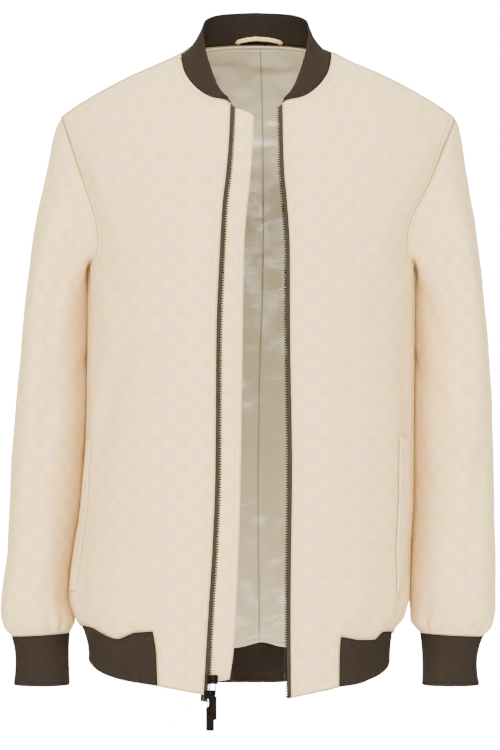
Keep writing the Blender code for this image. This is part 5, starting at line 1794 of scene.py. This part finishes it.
def satin(tree, colours):
    """Viscose satin: long warp floats give a smooth face with soft highlights drawn out across the cloth."""
    place = add(tree, "UVMap")
    stretched = add(tree, "Mapping", {"Vector": place, "Scale": (1.0, 0.16, 1.0)})
    floats = add(tree, "TexNoise", {"Vector": stretched, "Scale": 1400.0, "Detail": 2.0, "Roughness": 0.6})
    rumple = add(tree, "TexNoise", {"Vector": place, "Scale": 30.0, "Detail": 3.0, "Roughness": 0.5})
    height = add(tree, "Math", {0: rumple, 1: 5.0, 2: floats}, operation="MULTIPLY_ADD")
    # Painted sheen: the noise that raises the rumples also paints their crests lighter.
    tone = add(tree, "Mix", {0: rumple, 6: colours.lining, 7: colours.lining_crest_sheen}, data_type="RGBA")
    # The pleat's folded edge is a step in the surface, with painted shade in a dark line beside it.
    pleat = add(tree, "Attribute", attribute_name="pleat_mm").outputs["Fac"]
    rise = {"Value": pleat, "From Min": -0.7, "From Max": 0.5, "To Max": 3.0}
    step = add(tree, "MapRange", rise, interpolation_type="SMOOTHSTEP")
    stepped = add(tree, "Math", {0: height, 1: step}, operation="ADD")
    beside = add(tree, "Math", {0: pleat, 1: 0.9}, operation="ADD")
    from_edge = add(tree, "Math", {0: beside}, operation="ABSOLUTE")
    dark = {"Value": from_edge, "From Min": 0.3, "From Max": 1.5, "To Min": 0.6, "To Max": 0.0}
    line = add(tree, "MapRange", dark, interpolation_type="SMOOTHSTEP")
    # The hem is turned up and stitched a little in from its edge.
    hem = add(tree, "Attribute", attribute_name="hem_mm").outputs["Fac"]
    from_hem = add(tree, "Math", {0: hem, 1: LINING_HEM_STITCH}, operation="SUBTRACT")
    off_hem = add(tree, "Math", {0: from_hem}, operation="ABSOLUTE")
    sunk = {"Value": off_hem, "From Min": 0.2, "From Max": 1.8, "To Min": -2.0, "To Max": 0.0}
    turned = add(tree, "MapRange", sunk, interpolation_type="SMOOTHSTEP")
    sewn = add(tree, "Math", {0: stepped, 1: turned}, operation="ADD")
    shaded = add(tree, "Mix", {0: line, 6: tone.outputs[2], 7: colours.lining_shade}, data_type="RGBA")
    bump = add(tree, "Bump", {"Height": sewn, "Strength": 0.6, "Distance": 0.0006})
    return add(tree, "BsdfPrincipled", {
        "Base Color": shaded.outputs[2], "Roughness": 0.22, "Specular IOR Level": 0.8, "Anisotropic": 0.3,
        "Normal": bump,
    })


def woven_tape(tree, colours):
    """Polyester zip tape, a tight herringbone dyed brown, dull and even."""
    place = add(tree, "UVMap")
    weave = add(
        tree, "TexWave", {"Vector": place, "Scale": 260.0, "Distortion": 0.6},
        wave_type="BANDS", bands_direction="DIAGONAL",
    )
    yarn = add(tree, "TexNoise", {"Vector": place, "Scale": 1100.0, "Detail": 3.0})
    tone = add(tree, "Mix", {0: yarn, 6: colours.tape, 7: colours.tape_light}, data_type="RGBA")
    height = add(tree, "Math", {0: weave.outputs["Fac"], 1: 0.6, 2: yarn}, operation="MULTIPLY_ADD")
    bump = add(tree, "Bump", {"Height": height, "Strength": 0.6, "Distance": 0.0004})
    return add(tree, "BsdfPrincipled", {
        "Base Color": tone.outputs[2], "Roughness": 0.8, "Specular IOR Level": 0.3, "Normal": bump,
    })


def dark_metal(tree, colours):
    """Die-cast zinc in a black nickel plating, rubbed a little brighter where hands and rails touch it."""
    place = add(tree, "TexCoord").outputs["Object"]
    rub = add(tree, "TexNoise", {"Vector": place, "Scale": 300.0, "Detail": 3.0, "Roughness": 0.6})
    tone = add(tree, "Mix", {0: rub, 6: colours.metal, 7: colours.metal_worn}, data_type="RGBA")
    worn = {"Value": rub, "From Min": 0.3, "From Max": 0.7, "To Min": 0.28, "To Max": 0.5}
    rough = add(tree, "MapRange", worn)
    grain = add(tree, "TexNoise", {"Vector": place, "Scale": 2200.0, "Detail": 2.0})
    soft_edges = add(tree, "Bevel", {"Radius": 0.0005}, samples=4)
    bump = add(tree, "Bump", {"Height": grain, "Strength": 0.2, "Distance": 0.0001, "Normal": soft_edges})
    return add(tree, "BsdfPrincipled", {
        "Base Color": tone.outputs[2], "Metallic": 1.0, "Roughness": rough, "Normal": bump,
    })


def sewing_thread(tree, colours):
    """Core-spun polyester thread, matched to the cloth and a touch glossier than it."""
    place = add(tree, "TexCoord").outputs["Object"]
    twist = add(
        tree, "TexWave", {"Vector": place, "Scale": 900.0, "Distortion": 0.5},
        wave_type="BANDS", bands_direction="DIAGONAL",
    ).outputs["Fac"]
    tone = add(tree, "Mix", {0: twist, 6: colours.thread, 7: colours.cloth}, data_type="RGBA")
    bump = add(tree, "Bump", {"Height": twist, "Strength": 0.4, "Distance": 0.0001})
    return add(tree, "BsdfPrincipled", {"Base Color": tone.outputs[2], "Roughness": 0.6, "Normal": bump})


def studio_floor(tree, colours):
    """Matt painted sweep, with the faint mottle of a rolled coat."""
    place = add(tree, "TexCoord").outputs["Object"]
    mottle = add(tree, "TexNoise", {"Vector": place, "Scale": 6.0, "Detail": 3.0})
    tone = add(tree, "Mix", {0: mottle, 6: colours.floor, 7: colours.floor_light}, data_type="RGBA")
    return add(tree, "BsdfPrincipled", {
        "Base Color": tone.outputs[2], "Roughness": 0.85, "Specular IOR Level": 0.2,
    })


FINISHES = {
    "wool_cloth": ("brushed_wool_with_tonal_check", woven_wool),
    "rib_knit": ("brown_rib_knit", rib_knit),
    "satin_lining": ("greige_satin", satin),
    "zip_tape": ("brown_zip_tape", woven_tape),
    "zip_metal": ("black_nickel_zinc", dark_metal),
    "thread": ("cream_sewing_thread", sewing_thread),
    "floor": ("pale_painted_sweep", studio_floor),
}
MADE = {}


def finish(name):
    """The material for a finish, made when it is first asked for."""
    if name not in MADE:
        title, coat = FINISHES[name]
        material = bpy.data.materials.new(title)
        material.use_nodes = True
        tree = material.node_tree
        tree.nodes.clear()
        shader = coat(tree, bpy.context.scene.jacket_colours)
        add(tree, "OutputMaterial", {"Surface": shader})
        MADE[name] = material
    return MADE[name]


# Stage


def area_light(name, place, aim, size, power, colour, spread):
    light = bpy.data.lights.new(name, "AREA")
    light.shape = "RECTANGLE"
    light.size, light.size_y = size
    light.energy = power
    light.color = colour
    light.spread = math.radians(spread)
    lamp = bpy.data.objects.new(name, light)
    lamp.location = place
    lamp.rotation_euler = (Vector(aim) - Vector(place)).to_track_quat("-Z", "Y").to_euler()
    bpy.context.scene.collection.objects.link(lamp)


def build_stage():
    """A floor that sweeps up behind into a pale wall, soft light from large panels, and the camera."""
    mesh = bmesh.new()
    edge = [mesh.verts.new((x, -STAGE_FRONT, FLOOR)) for x in (STAGE_HALF, -STAGE_HALF)]
    profile = [(STAGE_BACK - STAGE_CURVE, FLOOR)]
    for i in range(1, STAGE_STEPS + 1):
        turn = math.pi / 2 * i / STAGE_STEPS
        rise = STAGE_CURVE * (1 - math.cos(turn))
        profile.append((STAGE_BACK - STAGE_CURVE * (1 - math.sin(turn)), FLOOR + rise))
    profile.append((STAGE_BACK, FLOOR + STAGE_HEIGHT))
    line = [mesh.edges.new(edge)]
    here = (-STAGE_FRONT, FLOOR)
    for y, z in profile:
        grown = bmesh.ops.extrude_edge_only(mesh, edges=line)
        verts = [item for item in grown["geom"] if isinstance(item, bmesh.types.BMVert)]
        line = [item for item in grown["geom"] if isinstance(item, bmesh.types.BMEdge)]
        line = [item for item in line if all(vert in verts for vert in item.verts)]
        bmesh.ops.translate(mesh, verts=verts, vec=(0, y - here[0], z - here[1]))
        here = (y, z)
    bmesh.ops.recalc_face_normals(mesh, faces=mesh.faces)
    data = bpy.data.meshes.new("studio_sweep")
    mesh.to_mesh(data)
    mesh.free()
    data.materials.append(finish("floor"))
    data.shade_smooth()
    sweep = bpy.data.objects.new("studio_sweep", data)
    bpy.context.scene.collection.objects.link(sweep)

    world = bpy.data.worlds.new("soft_room")
    world.use_nodes = True
    back = world.node_tree.nodes["Background"]
    back.inputs["Color"].default_value = (1.0, 1.0, 1.0, 1.0)
    back.inputs["Strength"].default_value = WORLD_STRENGTH
    bpy.context.scene.world = world
    for row in LIGHTS:
        area_light(*row)

    camera = bpy.data.cameras.new("photo_camera")
    camera.sensor_fit = "VERTICAL"
    camera.sensor_height = SENSOR_HEIGHT
    camera.lens = SENSOR_HEIGHT * CAMERA_DISTANCE / VIEW_HEIGHT
    camera.clip_end = 50.0
    stand = bpy.data.objects.new("photo_camera", camera)
    stand.location = (CAMERA_X, -CAMERA_DISTANCE, CAMERA_Z)
    stand.rotation_euler = (math.pi / 2, 0, 0)
    bpy.context.scene.collection.objects.link(stand)
    bpy.context.scene.camera = stand


# The form that several pieces are fitted to, worked out once

FORM = {}


def jacket_form():
    """Outer and inner points of the fronts and the back, as the sleeves, bands and zip need them."""
    if not FORM:
        grids = {"right": front_grid("right"), "left": front_grid("left"), "back": back_grid()}
        for name, grid in grids.items():
            FORM[name] = (panel_points(grid), inner_skin(grid))
    return FORM


# Settings, operators and panel


class JacketSizes(bpy.types.PropertyGroup):
    """Sizes of the finer parts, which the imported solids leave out."""

    cloth: bpy.props.FloatProperty(
        name="Cloth", description="Thickness of the wool cloth", default=0.0019, min=0.0005, max=0.0025,
        unit="LENGTH", subtype="DISTANCE",
    )
    rib_pitch: bpy.props.FloatProperty(
        name="Rib pitch", description="Distance from rib to rib of the knit", default=RIB_PITCH_FINE * MM,
        min=0.001, max=0.006, unit="LENGTH", subtype="DISTANCE",
    )
    rib_depth: bpy.props.FloatProperty(
        name="Rib depth", description="Depth between the ribs of the knit", default=RIB_FINE_DEPTH * MM,
        min=0.0, max=0.0012, unit="LENGTH", subtype="DISTANCE",
    )
    stitch_pitch: bpy.props.FloatProperty(
        name="Stitch pitch", description="Distance from stitch to stitch of the topstitching",
        default=STITCH_PITCH * MM, min=0.001, max=0.01, unit="LENGTH", subtype="DISTANCE",
    )
    stitch_length: bpy.props.FloatProperty(
        name="Stitch length", description="Length of thread that shows in one stitch",
        default=STITCH_LENGTH * MM, min=0.0005, max=0.009, unit="LENGTH", subtype="DISTANCE",
    )
    tooth_pitch: bpy.props.FloatProperty(
        name="Tooth pitch", description="Distance from tooth to tooth of the zip", default=TOOTH_PITCH * MM,
        min=0.0015, max=0.006, unit="LENGTH", subtype="DISTANCE",
    )


def colour_property(name, description, colour):
    return bpy.props.FloatVectorProperty(
        name=name, description=description, default=toLinear(colour), min=0.0, max=1.0, size=3,
        subtype="COLOR",
    )


class JacketColours(bpy.types.PropertyGroup):
    """Colours of the cloth, knit, lining, zip and studio."""

    cloth: colour_property("Cloth", "Ground shade of the cream wool", CLOTH_COLOUR)
    check_block: colour_property("Check block", "Pinkish shade inside the check", BLOCK_COLOUR)
    check_band: colour_property("Check band", "Yellower shade of the check's bands", BAND_COLOUR)
    check_fleck: colour_property("Check fleck", "Flecks where the check's bands cross", FLECK_COLOUR)
    # Painted shade of the cloth deep in its seams.
    cloth_seam_shade: colour_property("Seam shade", "Cloth deep in a seam", SEAM_SHADE_COLOUR)
    rib: colour_property("Rib knit", "Dark brown of the knit", RIB_COLOUR)
    # Lighter fibres, and painted light on the ribs against painted shade in the hollows.
    rib_fleck_and_ridge_light: colour_property("Rib knit light", "Lighter fibres of the knit", RIB_FLECK_AND_RIDGE_LIGHT_COLOUR)
    lining: colour_property("Lining", "Greige of the satin lining", LINING_COLOUR)
    # Painted sheen on the crests of the lining's rumples.
    lining_crest_sheen: colour_property("Lining light", "Lighter shade of the satin lining", LINING_CREST_SHEEN_COLOUR)
    lining_shade: colour_property("Lining shade", "Dark line beside the lining's pleat", LINING_SHADE_COLOUR)
    tape: colour_property("Zip tape", "Brown of the zip's tape", TAPE_COLOUR)
    tape_light: colour_property("Zip tape light", "Lighter yarns of the zip's tape", TAPE_LIGHT_COLOUR)
    metal: colour_property("Zip metal", "Plating of the teeth, sliders and tabs", METAL_COLOUR)
    metal_worn: colour_property("Rubbed metal", "Plating where it has been rubbed", METAL_WORN_COLOUR)
    thread: colour_property("Thread", "Sewing thread", THREAD_COLOUR)
    floor: colour_property("Sweep", "Paint of the studio sweep", FLOOR_COLOUR)
    floor_light: colour_property("Sweep light", "Lighter mottle of the sweep", FLOOR_LIGHT_COLOUR)


class JACKET_OT_fronts(bpy.types.Operator):
    """Builds both front panels in cloth"""

    bl_idname = "jacket.fronts"
    bl_label = "Front Panels"

    def execute(self, context):
        for side in ("right", "left"):
            build_front(side, jacket_form()[side][0])
        return {"FINISHED"}


class JACKET_OT_back(bpy.types.Operator):
    """Builds the back panel in cloth"""

    bl_idname = "jacket.back"
    bl_label = "Back Panel"

    def execute(self, context):
        build_back(jacket_form()["back"][0])
        return {"FINISHED"}


class JACKET_OT_sleeves(bpy.types.Operator):
    """Builds both sleeves with the knitted cuffs at their ends"""

    bl_idname = "jacket.sleeves"
    bl_label = "Sleeves and Cuffs"

    def execute(self, context):
        for side in ("right", "left"):
            wrist = build_sleeve(side, jacket_form()[side], jacket_form()["back"])
            build_cuff(side, wrist)
        return {"FINISHED"}


class JACKET_OT_collar(bpy.types.Operator):
    """Knits the collar and sews the hanger loop inside it"""

    bl_idname = "jacket.collar"
    bl_label = "Collar and Hanger Loop"

    def execute(self, context):
        form = jacket_form()
        seam, top, normals = build_collar({side: form[side] for side in ("right", "left")}, form["back"])
        build_hanger_loop(seam, top, normals)
        return {"FINISHED"}


class JACKET_OT_hem_rib(bpy.types.Operator):
    """Knits the hem rib round the sides and back"""

    bl_idname = "jacket.hem_rib"
    bl_label = "Hem Rib"

    def execute(self, context):
        build_hem_rib()
        return {"FINISHED"}


class JACKET_OT_lining(bpy.types.Operator):
    """Hangs the satin back lining with its neck band"""

    bl_idname = "jacket.lining"
    bl_label = "Back Lining"

    def execute(self, context):
        build_lining()
        return {"FINISHED"}


class JACKET_OT_zip(bpy.types.Operator):
    """Builds the zip's tapes and teeth and the wind guard, and finishes the sliders and pull tabs"""

    bl_idname = "jacket.zip"
    bl_label = "Zip and Wind Guard"

    def execute(self, context):
        form = jacket_form()
        build_zip_half("right", form["right"], ZIP_END_RIGHT)
        build_zip_half("left", form["left"], ZIP_END_LEFT)
        build_wind_guard()
        for name in ("zip_slider_upper", "zip_slider_lower", "pull_tab_upper", "pull_tab_lower"):
            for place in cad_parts[name].material_slots:
                place.material = finish("zip_metal")
        return {"FINISHED"}


class JACKET_OT_welts(bpy.types.Operator):
    """Lays the welts of the two side pockets"""

    bl_idname = "jacket.welts"
    bl_label = "Pocket Welts"

    def execute(self, context):
        for side in ("right", "left"):
            build_welt(side, jacket_form()[side])
        return {"FINISHED"}


class JACKET_OT_stitching(bpy.types.Operator):
    """Sews the topstitching of the panels"""

    bl_idname = "jacket.stitching"
    bl_label = "Topstitching"

    def execute(self, context):
        form = jacket_form()
        for side in ("right", "left"):
            stitch_piece("front_%s_stitches" % side, front_stitch_paths(form[side][0]))
        stitch_piece("back_stitches", back_stitch_paths(form["back"][0]))
        return {"FINISHED"}


class JACKET_OT_stage(bpy.types.Operator):
    """Sets up the sweep, the lights and the camera"""

    bl_idname = "jacket.stage"
    bl_label = "Studio"

    def execute(self, context):
        build_stage()
        return {"FINISHED"}


class JACKET_PT_pieces(bpy.types.Panel):
    """Lists the jacket's pieces and their settings"""

    bl_idname = "JACKET_PT_pieces"
    bl_label = "Bomber Jacket"
    bl_space_type = "VIEW_3D"
    bl_region_type = "UI"
    bl_category = "Jacket"

    def draw(self, context):
        layout = self.layout
        for operator in OPERATORS:
            layout.operator(operator.bl_idname)
        for group in (context.scene.jacket_sizes, context.scene.jacket_colours):
            box = layout.box()
            for name in group.bl_rna.properties.keys():
                if name not in ("rna_type", "name"):
                    box.prop(group, name)


OPERATORS = (
    JACKET_OT_stage,
    JACKET_OT_fronts,
    JACKET_OT_back,
    JACKET_OT_sleeves,
    JACKET_OT_collar,
    JACKET_OT_hem_rib,
    JACKET_OT_lining,
    JACKET_OT_zip,
    JACKET_OT_welts,
    JACKET_OT_stitching,
)
CLASSES = (JacketSizes, JacketColours, *OPERATORS, JACKET_PT_pieces)


def register():
    for entry in CLASSES:
        bpy.utils.register_class(entry)
    bpy.types.Scene.jacket_sizes = bpy.props.PointerProperty(type=JacketSizes)
    bpy.types.Scene.jacket_colours = bpy.props.PointerProperty(type=JacketColours)


def unregister():
    del bpy.types.Scene.jacket_colours
    del bpy.types.Scene.jacket_sizes
    for entry in reversed(CLASSES):
        bpy.utils.unregister_class(entry)


def main():
    register()
    bpy.ops.jacket.stage()
    bpy.ops.jacket.fronts()
    bpy.ops.jacket.back()
    bpy.ops.jacket.sleeves()
    bpy.ops.jacket.collar()
    bpy.ops.jacket.hem_rib()
    bpy.ops.jacket.lining()
    bpy.ops.jacket.zip()
    bpy.ops.jacket.welts()
    bpy.ops.jacket.stitching()


if __name__ == "__main__":
    main()
